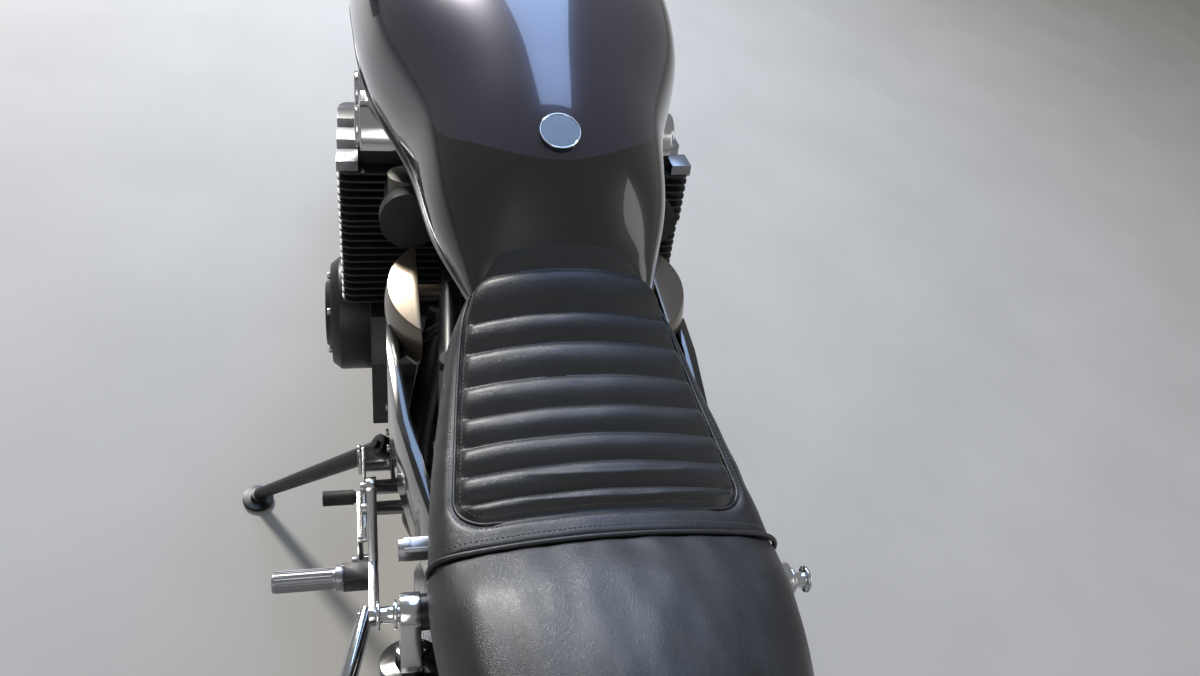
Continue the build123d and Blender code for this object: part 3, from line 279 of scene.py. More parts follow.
finishes = {
    # Frame tubes: satin black powder coat, with the faint orange peel it bakes to
    "frame_black": plainFinish("powderCoatedSteel", "#15161a", 0.34, bump=(900, 0.0002, 0.35),
                               gloss=(18, 0.28, 0.42)),
    # Engine cases: sand-cast aluminium under black enamel, its grain still showing
    "engine_black": plainFinish("enamelledCastAluminium", "#17181b", 0.42, bump=(650, 0.0003, 0.5),
                                gloss=(30, 0.34, 0.5), tones=(60, "#131417", "#1d1e22")),
    # Die-cast zinc alloy, dull and slightly warm, its grey painted darker as painted shade for the shadow the
    # carburettors sit in
    "carburettor_alloy": plainFinish("dieCastZinc", "#5a5955", 0.5, 1.0, bump=(800, 0.0002, 0.5),
                                     tones=(45, "#4f4d49", "#666561")),
    "steel_pipe": steelPipe(), "tank_paint": tankPaint(), "polished_alloy": polishedAlloy(),
    # Badge: dark navy enamel, left plain
    "badge": plainFinish("navyEnamel", "#101a2c", 0.2, gloss=(80, 0.15, 0.25), Coat_Weight=1.0),
    "seat_leather": seatLeather(),
    # Black lacquer over moulded plastic and steel: deep and wet looking
    "gloss_black": plainFinish("blackLacquer", "#08090b", 0.16, bump=(90, 0.0001, 0.12), gloss=(12, 0.12, 0.2),
                               Coat_Weight=1.0, Coat_Roughness=0.04),
    "bronze_paint": bronzePaint(),
    # Moulded black polypropylene with a fine spark-eroded grain
    "satin_plastic": plainFinish("mouldedPolypropylene", "#141416", 0.55, bump=(1400, 0.0002, 0.5),
                                 gloss=(40, 0.48, 0.62)),
    "lamp_red": lampRed(), "swingarm_alloy": brushedAlloy(),
    # Zinc-plated steel fasteners and axles, a cool dull grey
    "plain_steel": plainFinish("zincPlatedSteel", "#a3a6ab", 0.36, 1.0, bump=(1500, 0.0001, 0.3),
                               tones=(150, "#989ba0", "#b2b4b6")),
    # Spring wire under cream white powder coat
    "spring_steel": plainFinish("creamPowderCoat", "#d9d4c4", 0.35, bump=(1000, 0.0001, 0.3),
                                gloss=(30, 0.28, 0.45)),
    # Oiled chain: dark brown-grey steel with bright worn plates
    "chain_steel": plainFinish("oiledChainSteel", "#6c6357", 0.35, 1.0, gloss=(120, 0.25, 0.5),
                               tones=(180, "#4c453b", "#8b857b")),
    # Cast and shot-blasted aluminium, lacquered: an even grey without a mirror
    "footrest_alloy": plainFinish("blastedAluminium", "#9a9b9e", 0.38, 1.0, bump=(1100, 0.00015, 0.45),
                                  gloss=(25, 0.32, 0.46)),
    # Hard-chromed fork tubes: the clearest mirror on the bike
    "chrome_tube": plainFinish("hardChrome", "#dcdee0", 0.05, 1.0, gloss=(90, 0.03, 0.09)),
    # Softer rubber of grips and pegs, slightly shiny from wear
    "grip_rubber": plainFinish("gripRubber", "#161617", 0.62, bump=(1300, 0.0003, 0.6), gloss=(60, 0.5, 0.72)),
    # Cast wheels: satin black enamel
    "wheel_black": plainFinish("satinWheelEnamel", "#131416", 0.32, bump=(700, 0.0002, 0.35),
                               gloss=(25, 0.26, 0.4)),
    # Tyre rubber: near black, greyer where it is scuffed
    "tyre_rubber": plainFinish("tyreRubber", "#1a1a1b", 0.78, bump=(900, 0.0003, 0.5),
                               tones=(70, "#151516", "#242425")),
    # Ground disc steel, an even grey with a faint unevenness
    "brake_steel": plainFinish("groundDiscSteel", "#b4b4b4", 0.28, 1.0, bump=(900, 0.00002, 0.15),
                               gloss=(60, 0.24, 0.32)),
    "lamp_glass": lampGlass(),
}
sameFinishes = {"shock_paint": "gloss_black", "caliper_black": "engine_black", "satin_alloy": "footrest_alloy"}
for slot, like in sameFinishes.items():
    finishes[slot] = finishes[like].copy()
# Bonded nylon thread, charcoal, with its twist
threadMaterial = plainFinish("bondedNylonThread", "#3c3c40", 0.6, bump=(3000, 0.0001, 0.5), gloss=(400, 0.5, 0.7),
                             Sheen_Weight=0.3)
finMaterial = machinedFins()
finned = ("cylinder_block", "cylinder_head")
for name, slot in slots.items():
    nodes[name].data.materials.clear()
    nodes[name].data.materials.append(finMaterial if name in finned else finishes[slot])
print("stage: finishes set")


def deselectAll():
    bpy.ops.object.select_all(action="DESELECT")


def activate(piece):
    deselectAll()
    piece.select_set(True)
    bpy.context.view_layer.objects.active = piece


def smoothstep(low, high, value):
    share = min(max((value - low) / (high - low), 0.0), 1.0)
    return share * share * (3 - 2 * share)


def between(table, x):
    # Row of a station table at x, joined smoothly from row to row
    rows = sorted(table)
    x = min(max(x, rows[0][0]), rows[-1][0])
    n = max(i for i in range(len(rows) - 1) if rows[i][0] <= x)
    first, last = rows[n], rows[n + 1]
    before, after = rows[max(n - 1, 0)], rows[min(n + 2, len(rows) - 1)]
    span = last[0] - first[0]
    t = (x - first[0]) / span
    result = []
    for column in range(1, len(first)):
        slopeFirst = (last[column] - before[column]) / (last[0] - before[0]) * span
        slopeLast = (after[column] - first[column]) / (after[0] - first[0]) * span
        result.append((2 * t ** 3 - 3 * t ** 2 + 1) * first[column] + (t ** 3 - 2 * t ** 2 + t) * slopeFirst
                      + (3 * t ** 2 - 2 * t ** 3) * last[column] + (t ** 3 - t ** 2) * slopeLast)
    return result


def arcPoints(first, middle, last, count):
    # Points on the arc through three, without the last
    (ax, ay), (bx, by), (cx, cy) = first, middle, last
    d = 2 * (ax * (by - cy) + bx * (cy - ay) + cx * (ay - by))
    ux = ((ax * ax + ay * ay) * (by - cy) + (bx * bx + by * by) * (cy - ay) + (cx * cx + cy * cy) * (ay - by)) / d
    uy = ((ax * ax + ay * ay) * (cx - bx) + (bx * bx + by * by) * (ax - cx) + (cx * cx + cy * cy) * (bx - ax)) / d
    radius = math.hypot(ax - ux, ay - uy)
    start, mid, end = (math.atan2(y - uy, x - ux) for x, y in (first, middle, last))
    turn = (end - start) % (2 * math.pi)
    if (mid - start) % (2 * math.pi) > turn:
        turn -= 2 * math.pi
    return [(ux + radius * math.cos(start + turn * n / count), uy + radius * math.sin(start + turn * n / count))
            for n in range(count)]


def sectionRing(low, lowZ, wide, wideZ, edge, edgeZ, crown, flankCount, crownCount, softness, floor):
    # Closed outline of a section from the left floor corner round to the left flank; corners softened
    ring = list(floor)
    steady = len(ring)
    ring += arcPoints((low, lowZ), (wide, wideZ), (edge, edgeZ), flankCount)
    ring += arcPoints((edge, edgeZ), (0, crown), (-edge, edgeZ), crownCount)
    ring += arcPoints((-edge, edgeZ), (-wide, wideZ), (-low, lowZ), flankCount)
    for _ in range(softness):
        ring = [point if n < steady else ((ring[n - 1][0] + 2 * point[0] + ring[(n + 1) % len(ring)][0]) / 4,
                                          (ring[n - 1][1] + 2 * point[1] + ring[(n + 1) % len(ring)][1]) / 4)
                for n, point in enumerate(ring)]
    return ring


def addShell(name, rings, closed=False):
    # A grid primitive wrapped on to rings of equal count, its long edges joined and its ends filled or joined
    around, along = len(rings[0]), len(rings)
    steps = along if closed else along - 1
    bpy.ops.mesh.primitive_grid_add(x_subdivisions=steps, y_subdivisions=around, size=1.0)
    shell = bpy.context.object
    shell.name = name
    for vertex in shell.data.vertices:
        column = round((vertex.co.x + 0.5) * steps) % along
        row = round((vertex.co.y + 0.5) * around) % around
        vertex.co = rings[column][row]
    bpy.ops.object.mode_set(mode="EDIT")
    bpy.ops.mesh.select_all(action="SELECT")
    bpy.ops.mesh.remove_doubles(threshold=0.00001)
    if not closed:
        bpy.ops.mesh.select_all(action="DESELECT")
        bpy.ops.mesh.select_non_manifold()
        bpy.ops.mesh.fill_holes(sides=0)
    bpy.ops.mesh.select_all(action="SELECT")
    bpy.ops.mesh.normals_make_consistent(inside=False)
    bpy.ops.object.mode_set(mode="OBJECT")
    return shell


def addTube(name, points, radius):
    # Round welt along a list of points, with eight sides
    rings = []
    turns = [2 * math.pi * k / 8 for k in range(8)]
    for n, point in enumerate(points):
        run = (points[min(n + 1, len(points) - 1)] - points[max(n - 1, 0)]).normalized()
        side = run.cross(Vector((0, 0, 1))).normalized()
        above = side.cross(run)
        rings.append([point + radius * (side * math.cos(turn) + above * math.sin(turn)) for turn in turns])
    return addShell(name, rings)


def finish(piece, body, slot, smoothAngle=40, material=None):
    # Shades a piece and gives it its body and the slot's material, or another one
    activate(piece)
    bpy.ops.object.shade_smooth_by_angle(angle=math.radians(smoothAngle))
    piece.data.materials.clear()
    piece.data.materials.append(material or finishes[slot])
    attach(piece, body)


def settle(piece, body, slot, smoothAngle=40, material=None):
    # Moves a piece drawn upright into the parked bike, finishes it and hands it to its body
    piece.data.transform(toRow)
    piece.data.update()
    finish(piece, body, slot, smoothAngle, material)


def addCopies(name, source, places, body, slot, smoothAngle=40, material=None):
    # Copies of one small piece, each with its own mesh, joined to one object; the source itself goes
    copies = []
    for place in places:
        single = source.copy()
        single.data = source.data.copy()
        single.data.transform(place)
        bpy.context.scene.collection.objects.link(single)
        copies.append(single)
    bpy.data.objects.remove(source)
    deselectAll()
    for single in copies:
        single.select_set(True)
    bpy.context.view_layer.objects.active = copies[0]
    bpy.ops.object.join()
    joined = bpy.context.object
    joined.name = name
    finish(joined, body, slot, smoothAngle, material)


def addRod(length, radius, sides, base=0.0):
    # Plain rod along Z, from its base up
    middle = (0, 0, base + length / 2)
    bpy.ops.mesh.primitive_cylinder_add(vertices=sides, radius=radius, depth=length, location=middle)
    bpy.ops.object.transform_apply(location=True, rotation=True, scale=True)
    return bpy.context.object


def aim(place, direction, spin=0.0, size=1.0):
    # Matrix that stands a piece drawn along Z on a place, pointing along a direction
    turned = Vector(direction).normalized().to_track_quat("Z", "Y").to_matrix().to_4x4()
    return Matrix.Translation(place) @ turned @ Matrix.Rotation(spin, 4, "Z") @ Matrix.Scale(size, 4)


def breakEdges(piece, width):
    bevel = piece.modifiers.new("brokenEdges", "BEVEL")
    bevel.width = width
    bevel.segments = 2
    bevel.limit_method = "ANGLE"
    bevel.angle_limit = math.radians(32)
    bpy.ops.object.modifier_apply(modifier="brokenEdges")


def refine(nodeName, width):
    # A merged copy of a CAD node with softly broken edges, in the node's place
    activate(nodes[nodeName])
    bpy.ops.object.duplicate()
    piece = bpy.context.object
    piece.name = nodeName.title().replace("_", "") + "Dressed"
    bpy.ops.object.mode_set(mode="EDIT")
    bpy.ops.mesh.select_all(action="SELECT")
    bpy.ops.mesh.remove_doubles(threshold=0.000005)
    bpy.ops.mesh.dissolve_limited(angle_limit=math.radians(1.0))
    bpy.ops.mesh.normals_make_consistent(inside=False)
    bpy.ops.object.mode_set(mode="OBJECT")
    breakEdges(piece, width)
    finish(piece, bodies[nodeName], slots[nodeName], 35, piece.data.materials[0])
    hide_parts(nodeName)
    return piece


# Fuel tank, remade smooth over the CAD's stations, with a bright seam lip along both lower edges
tank = {
    "stations": [  # x, floor half-width, widest, its height, edge, its height, crown height
        (0.430, 0.088, 0.091, 0.784, 0.074, 0.793, 0.797),
        (0.456, 0.097, 0.100, 0.795, 0.078, 0.818, 0.832),
        (0.530, 0.121, 0.126, 0.812, 0.095, 0.868, 0.903),
        (0.640, 0.140, 0.146, 0.830, 0.112, 0.905, 0.948),
        (0.780, 0.182, 0.191, 0.846, 0.150, 0.930, 0.973),
        (0.930, 0.199, 0.207, 0.850, 0.165, 0.925, 0.973),
        (1.032, 0.196, 0.202, 0.850, 0.150, 0.900, 0.938),
        (1.064, 0.158, 0.163, 0.845, 0.120, 0.878, 0.902),
    ],
    "floor": 0.775, "floorRise": 0.0592, "noseRound": 0.022, "tailRound": 0.006, "endPull": 0.02, "endGather": 0.11,
    "tunnelHalf": 0.042, "tunnelX": 0.600, "tunnelTop": 0.840, "tunnelRise": 0.0653,
    "tunnelTailX": 0.530, "tunnelTailTop": 0.800, "tunnelTailRise": 0.571, "tunnelRoof": 0.012,
    "lipReach": 0.0048, "lipHeight": 0.0045, "lipWidth": 0.012, "lipGap": 0.0003, "lipCorner": 0.001, "edgePull": 0.6,
    "columns": 90, "flankCount": 22, "crownCount": 54, "softness": 16,
}


def endLoss(near):
    # Share that a section loses on a rounded end, near running from 0 at the end to 1 where it is full
    return 1 - math.sqrt(max(1 - (1 - min(near, 1.0)) ** 2, 0.0))


def makeTank():
    spec = tank
    first, last = spec["stations"][0][0], spec["stations"][-1][0]
    rings, lips = [], []
    for column in range(spec["columns"] + 1):
        share = column / spec["columns"]
        x = first + (last - first) * (share - math.sin(2 * math.pi * share) * spec["endGather"])
        low, wide, wideZ, edge, edgeZ, crown = between(spec["stations"], x)
        floorZ = spec["floor"] + (x - first) * spec["floorRise"]
        pull = endLoss(min((x - first) / spec["tailRound"], (last - x) / spec["noseRound"])) * spec["endPull"]
        tunnel = spec["tunnelTop"] + (x - spec["tunnelX"]) * spec["tunnelRise"]
        if x <= spec["tunnelX"]:
            tunnel = spec["tunnelTailTop"] + (x - spec["tunnelTailX"]) * spec["tunnelTailRise"]
        tunnel = min(max(tunnel, floorZ + 0.001), crown - spec["tunnelRoof"])
        half = spec["tunnelHalf"]
        floor = [(-low + pull, floorZ), (-half, floorZ), (-half, tunnel), (half, tunnel), (half, floorZ),
                 (low - pull, floorZ)]
        ring = sectionRing(low - pull, floorZ, wide - pull, wideZ, edge - pull, edgeZ - pull * spec["edgePull"],
                           crown - pull, spec["flankCount"], spec["crownCount"], spec["softness"], floor)
        rings.append([(x, y, z) for y, z in ring])
        reach = low - pull + spec["lipReach"]
        root, corner, foot = reach - spec["lipWidth"], spec["lipCorner"], floorZ + spec["lipGap"]
        top = floorZ + spec["lipHeight"]
        lip = [(root, foot), (reach - corner, foot), (reach, floorZ + 1.5 * corner), (reach, top - corner),
               (reach - corner, top), (root, top)]
        lips.append([[(x, side * y, z) for y, z in lip] for side in (-1, 1)])
    shell = addShell("tankShell", rings)
    settle(shell, "chassis", "tank_paint", 50)
    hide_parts("fuel_tank")
    for n, name in enumerate(("tankLipRight", "tankLipLeft")):
        settle(addShell(name, [pair[n] for pair in lips]), "chassis", "satin_alloy", 30)


makeTank()
print("stage: tank made")

# Seat: pad with sewn ribs inside a stitched border, and the hump behind its piped seam
seat = {
    "padStations": [  # x, floor half-width, floor height, widest, its height, edge, its height, crown height
        (0.148, 0.148, 0.715, 0.150, 0.745, 0.130, 0.766, 0.781),
        (0.240, 0.140, 0.715, 0.142, 0.745, 0.121, 0.768, 0.784),
        (0.325, 0.128, 0.715, 0.130, 0.745, 0.112, 0.773, 0.788),
        (0.395, 0.116, 0.715, 0.118, 0.752, 0.102, 0.787, 0.803),
        (0.425, 0.103, 0.715, 0.106, 0.762, 0.090, 0.801, 0.815),
        (0.452, 0.087, 0.715, 0.090, 0.775, 0.074, 0.817, 0.829),
        (0.473, 0.064, 0.715, 0.066, 0.785, 0.052, 0.825, 0.837),
        (0.486, 0.036, 0.715, 0.038, 0.790, 0.028, 0.826, 0.838),
    ],
    "humpStations": [
        (-0.165, 0.076, 0.729, 0.077, 0.745, 0.058, 0.762, 0.772),
        (-0.090, 0.110, 0.721, 0.112, 0.752, 0.090, 0.786, 0.803),
        (0.000, 0.134, 0.715, 0.136, 0.756, 0.112, 0.796, 0.815),
        (0.090, 0.147, 0.715, 0.149, 0.752, 0.126, 0.786, 0.802),
        (0.147, 0.148, 0.715, 0.150, 0.745, 0.130, 0.766, 0.781),
    ],
    "seams": [0.196, 0.225, 0.256, 0.289, 0.324, 0.362, 0.395, 0.438],
    "panel": [(0.150, 0.127), (0.206, 0.125), (0.259, 0.120), (0.328, 0.113), (0.397, 0.104), (0.425, 0.097),
              (0.452, 0.083), (0.473, 0.060), (0.486, 0.030)],  # x, half-width of the ribbed panel
    "panelRear": 0.174, "panelFront": 0.490, "cornerRadius": 0.028,
    "ribRise": 0.0035, "seamDepth": 0.0045, "borderDepth": 0.0035, "borderWidth": 0.0045,
    "ribLean": 1.35, "ribRound": 2.4, "foldWidth": 0.0022, "foldBend": 0.9, "foldEnds": (0.095, 0.055),
    "foldShift": 0.012, "sag": 0.0009, "crease": 0.0011,
    "stitch": 0.0042, "threadRadius": 0.00055, "threadDip": 1.3, "threadNarrow": 0.35, "seamBeside": 0.0030,
    "floorCorner": 0.010,
    "pad": {"columns": 230, "crownCount": 110, "softness": 40, "ends": 0.006, "nose": 0.008},
    "hump": {"columns": 120, "crownCount": 90, "softness": 30, "tail": 0.03, "tailPull": 0.022, "front": 0.005},
    "wrinkles": [(0.183, 0.02, 0.0012), (0.208, 0.03, 0.0010)],  # x at the middle, slope, height of soft folds
    "flankCount": 26, "edgePull": 0.7, "wallStart": 0.004, "ribFoot": (0.05, 0.03), "sagGrain": (38, 30),
    "creaseFoot": (0.03, 0.05), "creaseGrain": (22, 46), "routeNose": 0.468, "routeCount": 60, "seamEnds": 0.014,
    "borderInsets": (-0.0048, 0.0052), "humpSeam": (0.158, 0.138), "weltRise": 0.0006, "weltRadius": 0.0016,
    "pipingX": 0.1475, "pipingFoot": 0.02, "pipingSpread": 1.004, "pipingRise": 0.0008, "pipingRadius": 0.0024,
}


def borderDistance(x, y):
    # How far inside the panel's stitched border a point lies; negative outside
    half = between(seat["panel"], x)[0]
    side, rear = half - abs(y), x - seat["panelRear"]
    radius = seat["cornerRadius"]
    if side < radius and rear < radius:
        return radius - math.hypot(radius - side, radius - rear)
    return min(side, rear)


def ribHeight(x, y):
    # Height of the ribs, the seams and the border channel over the plain pad
    inside = borderDistance(x, y)
    channel = -seat["borderDepth"] * math.exp(-(inside / seat["borderWidth"]) ** 2)
    if inside <= 0:
        return channel
    seams = [seat["panelRear"], *seat["seams"], seat["panelFront"]]
    n = max(i for i in range(len(seams) - 1) if seams[i] <= x) if x >= seams[0] else 0
    share = min(max((x - seams[n]) / (seams[n + 1] - seams[n]), 0.0), 1.0)
    lean = share ** seat["ribLean"]
    bulge = (1 - abs(2 * lean - 1) ** seat["ribRound"]) * (seat["ribRise"] + seat["seamDepth"]) - seat["seamDepth"]
    for start, slope, depth in seat["wrinkles"]:
        away = (x - start - slope * y - seat["foldBend"] * y * y) / seat["foldWidth"]
        bulge += depth * math.exp(-away * away) * smoothstep(*seat["foldEnds"], abs(y + seat["foldShift"]))
    return channel + bulge * smoothstep(0.0, 0.012, inside)


def seatTop(pad):
    # Finds the pad's surface and its slope from above
    pad.data.calc_loop_triangles()
    corners = [vertex.co.copy() for vertex in pad.data.vertices]
    tree = BVHTree.FromPolygons(corners, [tuple(triangle.vertices) for triangle in pad.data.loop_triangles])
    return lambda x, y: tree.ray_cast(Vector((x, y, 1.0)), Vector((0, 0, -1)))[:2]


def padPoint(x, ring, n, table):
    # Ring point raised by the ribs along the section's outward normal, on the upper half only
    y, z = ring[n]
    before, after = ring[n - 1], ring[(n + 1) % len(ring)]
    normal = Vector((after[1] - before[1], before[0] - after[0]))
    if normal.length < 1e-9:
        return y, z
    normal.normalize()
    normal = -normal if normal.y < 0 else normal
    crown = between(table, x)[-1]
    foot, full = seat["ribFoot"]
    upper = smoothstep(crown - foot, crown - full, z)
    along, across = seat["sagGrain"]
    rise = ribHeight(x, y) * upper
    rise += noise.noise(Vector((x * along, y * across, z * across))) * seat["sag"] * upper
    return y + normal.x * rise, z + normal.y * rise


def seatRing(table, x, pull, spec):
    # Outline of the pad or the hump at x, drawn in by pull
    low, lowZ, wide, wideZ, edge, edgeZ, crown = between(table, x)
    corner = seat["floorCorner"]
    floor = [(-low + corner + 2 * low * k / 8 * (1 - corner / low), lowZ + 0.0002) for k in range(9)]
    return sectionRing(low - pull, lowZ + seat["wallStart"], wide - pull, wideZ, edge - pull,
                       edgeZ - pull * seat["edgePull"], crown - pull, seat["flankCount"], spec["crownCount"],
                       spec["softness"], floor)


def makePad():
    table, spec = seat["padStations"], seat["pad"]
    first, last = table[0][0] + 0.0005, table[-1][0]
    rings = []
    for column in range(spec["columns"] + 1):
        x = first + (last - first) * column / spec["columns"]
        pull = endLoss(min((x - first) / spec["ends"], (last - x) / spec["nose"])) * spec["ends"]
        ring = seatRing(table, x, pull, spec)
        rings.append([(x, *padPoint(x, ring, n, table)) for n in range(len(ring))])
    pad = addShell("seatPad", rings)
    above = seatTop(pad)
    settle(pad, "chassis", "seat_leather", 60)
    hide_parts("seat_pad")
    return above


def makeHump():
    table, spec = seat["humpStations"], seat["hump"]
    first, last = table[0][0], table[-1][0] - 0.0005
    along, across = seat["creaseGrain"]
    foot, full = seat["creaseFoot"]
    rings = []
    for column in range(spec["columns"] + 1):
        x = first + (last - first) * column / spec["columns"]
        lowZ = between(table, x)[1]
        pull = endLoss((x - first) / spec["tail"]) * spec["tailPull"]
        pull += endLoss((last - x) / spec["front"]) * spec["front"]
        lifted = []
        for y, z in seatRing(table, x, pull, spec):
            crease = noise.noise(Vector((x * along, y * across, z * across))) * seat["crease"]
            lifted.append((x, y, z + crease * smoothstep(lowZ + foot, lowZ + full, z)))
        rings.append(lifted)
    hump = addShell("seatHump", rings)
    settle(hump, "chassis", "seat_leather", 60)
    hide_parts("seat_hump")


def stitchLine(above, route):
    # Places of stitches along a route of x, y points, laid on the seat's top
    places, spacing = [], seat["stitch"]
    travelled, due = 0.0, spacing / 2
    for first, last in zip(route, route[1:]):
        length = math.dist(first, last)
        while due <= travelled + length:
            share = (due - travelled) / length
            x, y = (first[k] + (last[k] - first[k]) * share for k in (0, 1))
            point, normal = above(x, y)
            if point is not None:
                run = Vector((last[0] - first[0], last[1] - first[1], 0)).normalized()
                along = (run - normal * run.dot(normal)).normalized()
                places.append(toRow @ frameMatrix(along, normal.cross(along), normal, point))
            due += spacing
        travelled += length
    return places


def makeThread():
    # One stitch, lying along X: a short strand whose ends narrow and dip into the leather
    half, radius = seat["stitch"] * 0.41, seat["threadRadius"]
    strand = addRod(2 * half, radius, 8, -half)
    strand.data.transform(Matrix.Rotation(math.pi / 2, 4, "Y"))
    bpy.ops.object.mode_set(mode="EDIT")
    bpy.ops.mesh.select_all(action="SELECT")
    bpy.ops.mesh.subdivide(number_cuts=2)
    bpy.ops.object.mode_set(mode="OBJECT")
    for vertex in strand.data.vertices:
        near = (abs(vertex.co.x) / half) ** 3
        vertex.co.z -= seat["threadDip"] * radius * near
        vertex.co.y *= 1 - seat["threadNarrow"] * near
    return strand


def panelRoute(inset):
    # The panel's border, so far inside its edge, from the left nose round the rear to the right nose
    route, nose, last = [], seat["routeNose"], seat["routeCount"] - 1
    rear, radius = seat["panelRear"] + inset, seat["cornerRadius"] - inset
    side = between(seat["panel"], rear + radius)[0] - inset
    for n in range(seat["routeCount"]):
        x = nose - (nose - rear - radius) * n / last
        route.append((x, between(seat["panel"], x)[0] - inset))
    route += [(rear + radius * (1 - math.sin(angle)), side - radius * (1 - math.cos(angle)))
              for angle in [math.pi / 2 * k / 8 for k in range(1, 9)]]
    return route + [(x, -y) for x, y in reversed(route)]


def makeSewing(above):
    places = []
    for x in seat["seams"]:
        half = between(seat["panel"], x)[0] - seat["seamEnds"]
        line = [(x - seat["seamBeside"], half - k * half / 12) for k in range(25)]
        places += stitchLine(above, line)
    for inset in seat["borderInsets"]:
        places += stitchLine(above, panelRoute(inset))
    x, half = seat["humpSeam"]
    places += stitchLine(above, [(x, half - k * half / 20) for k in range(41)])
    addCopies("seatStitches", makeThread(), places, "chassis", "seat_leather", 60, threadMaterial)
    welt = [above(x, y)[0] for x, y in panelRoute(0.0)]
    welt = [point + Vector((0, 0, seat["weltRise"])) for point in welt if point]
    settle(addTube("borderWelt", welt, seat["weltRadius"]), "chassis", "seat_leather", 60)
    low, lowZ, *upper = seat["humpStations"][-1][1:]
    foot = lowZ + seat["pipingFoot"]
    arch = sectionRing(low, foot, *upper, 20, 70, 30, [(-low, foot), (low, foot)])[2:]
    piping = [Vector((seat["pipingX"], y * seat["pipingSpread"], z + seat["pipingRise"])) for y, z in arch]
    settle(addTube("humpPiping", piping, seat["pipingRadius"]), "chassis", "seat_leather", 60)


topOfPad = makePad()
makeHump()
makeSewing(topOfPad)
print("stage: seat made")


# Tyres: the CAD ring's section rounded, with slanted grooves over the shoulders
tyres = {
    "rear_tyre": {"outer": 0.312, "half": 0.080, "shoulder": 0.262, "beadHalf": 0.057, "grooves": 26},
    "front_tyre": {"outer": 0.300, "half": 0.060, "shoulder": 0.256, "beadHalf": 0.044, "grooves": 26},
}
tread = {
    "around": 624, "crownCount": 20, "bead": 0.219,
    "wall": [(0.0006, 0.006), (0.0022, 0.014), (0.006, 0.022)],  # steps in and down from the shoulder
    "foot": [(0.004, 0.014), (0.001, 0.009), (0.0, 0.003), (-0.002, 0.0003)],  # out and up from the bead
    "depth": 0.0032, "groove": (0.10, 0.94), "widening": (0.10, 0.3), "narrowing": (0.75, 0.94), "slant": 0.9,
    "narrow": 0.02, "wider": 0.085, "flat": 0.6,
}


def axleMatrix(jointName):
    # The wheel's own frame: its axle along Y, Z up as far as the axle allows
    joint = joints[jointName]
    along = Vector(joint["axis"]).normalized()
    ahead = along.cross(Vector((0, 0, 1))).normalized()
    return frameMatrix(ahead, along, ahead.cross(along), Vector(joint["pos_m"]))


def treadProfile(spec):
    # Half section from the crown to the bead, as y, radius and share of the way to the shoulder
    outer, half, shoulder = spec["outer"], spec["half"], spec["shoulder"]
    rise = outer - shoulder
    radius = (half ** 2 + rise ** 2) / (2 * rise)
    reach = math.asin(min(half / radius, 1.0)) if rise < half else math.pi / 2
    points = []
    for n in range(tread["crownCount"]):
        share = n / (tread["crownCount"] - 1)
        points.append((radius * math.sin(reach * share), outer - radius * (1 - math.cos(reach * share)), share))
    points += [(half - inward, shoulder - down, math.inf) for inward, down in tread["wall"]]
    return points + [(spec["beadHalf"] + out, tread["bead"] + up, math.inf) for out, up in tread["foot"]]


def grooveDepth(spec, turn, across):
    # Slanted grooves that run from near the crown to the shoulder, turn about in left and right
    side = abs(across)
    first, last = tread["groove"]
    if side < first or side > last:
        return 0.0
    shift = 0.5 if across < 0 else 0.0
    phase = (turn * spec["grooves"] + shift + tread["slant"] * side) % 1.0
    swell = smoothstep(*tread["widening"], side) * (1 - smoothstep(*tread["narrowing"], side))
    wide = tread["wider"] * swell + tread["narrow"]
    return tread["depth"] * (1 - smoothstep(wide * tread["flat"], wide, abs(phase - 0.5)))


def makeTyre(nodeName, jointName):
    spec = tyres[nodeName]
    half = treadProfile(spec)
    section = [(-y, r, -s) for y, r, s in reversed(half[1:])] + half
    place = axleMatrix(jointName)
    rings = []
    for n in range(tread["around"]):
        turn = n / tread["around"]
        angle = 2 * math.pi * turn
        ring = []
        for y, radius, share in section:
            radius -= grooveDepth(spec, turn, share)
            ring.append(place @ Vector((radius * math.cos(angle), y, radius * math.sin(angle))))
        rings.append(ring)
    tyre = addShell(nodeName.split("_")[0] + "Tyre", rings, closed=True)
    finish(tyre, bodies[nodeName], slots[nodeName])
    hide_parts(nodeName)


makeTyre("rear_tyre", "rear_wheel_spin")
makeTyre("front_tyre", "front_wheel_spin")
print("stage: tyres made")

# Rigid nodes with their edges broken, and the width of the break
broken = {
    "crankcase": 0.0015, "engine_covers": 0.0012, "cylinder_head": 0.0006, "cylinder_block": 0.0006,
    "cam_cover": 0.0020, "carburettors": 0.0010, "silencer": 0.0008, "filler_cap": 0.0010, "side_covers": 0.0012,
    "cover_pods": 0.0040, "helmet_lock": 0.0012, "swingarm": 0.0015, "shock_bodies": 0.0012,
    "chain_guard": 0.0008, "rear_brake": 0.0012, "footrest_hangers": 0.0012, "footrests": 0.0010,
    "foot_controls": 0.0010, "yokes": 0.0015, "fork_sliders": 0.0010, "clip_ons": 0.0008, "headlamp": 0.0008,
    "instruments": 0.0010, "front_calipers": 0.0015, "front_rim": 0.0015, "rear_rim": 0.0015,
    "tail_lamp": 0.0012, "side_stand": 0.0012,
}
dressed = {nodeName: refine(nodeName, width) for nodeName, width in broken.items()}
print("stage: edges broken")


# The engine's own frame: its origin in the crankshaft, its Z up along the cylinders
fromEngine = Matrix.Translation((0.800, 0, 0.427)) @ Matrix.Rotation(math.radians(8), 4, "Y")
toEngine = fromEngine.inverted()


def paintFaces(nodeName, material, test):
    # Gives a second material to the faces whose middle, in the upright frame, passes the test
    mesh = dressed[nodeName].data
    mesh.materials.append(material)
    for polygon in mesh.polygons:
        if test(toBike @ polygon.center):
            polygon.material_index = len(mesh.materials) - 1


def nearAxis(point, x, z, radius):
    return math.hypot(point.x - x, point.z - z) < radius


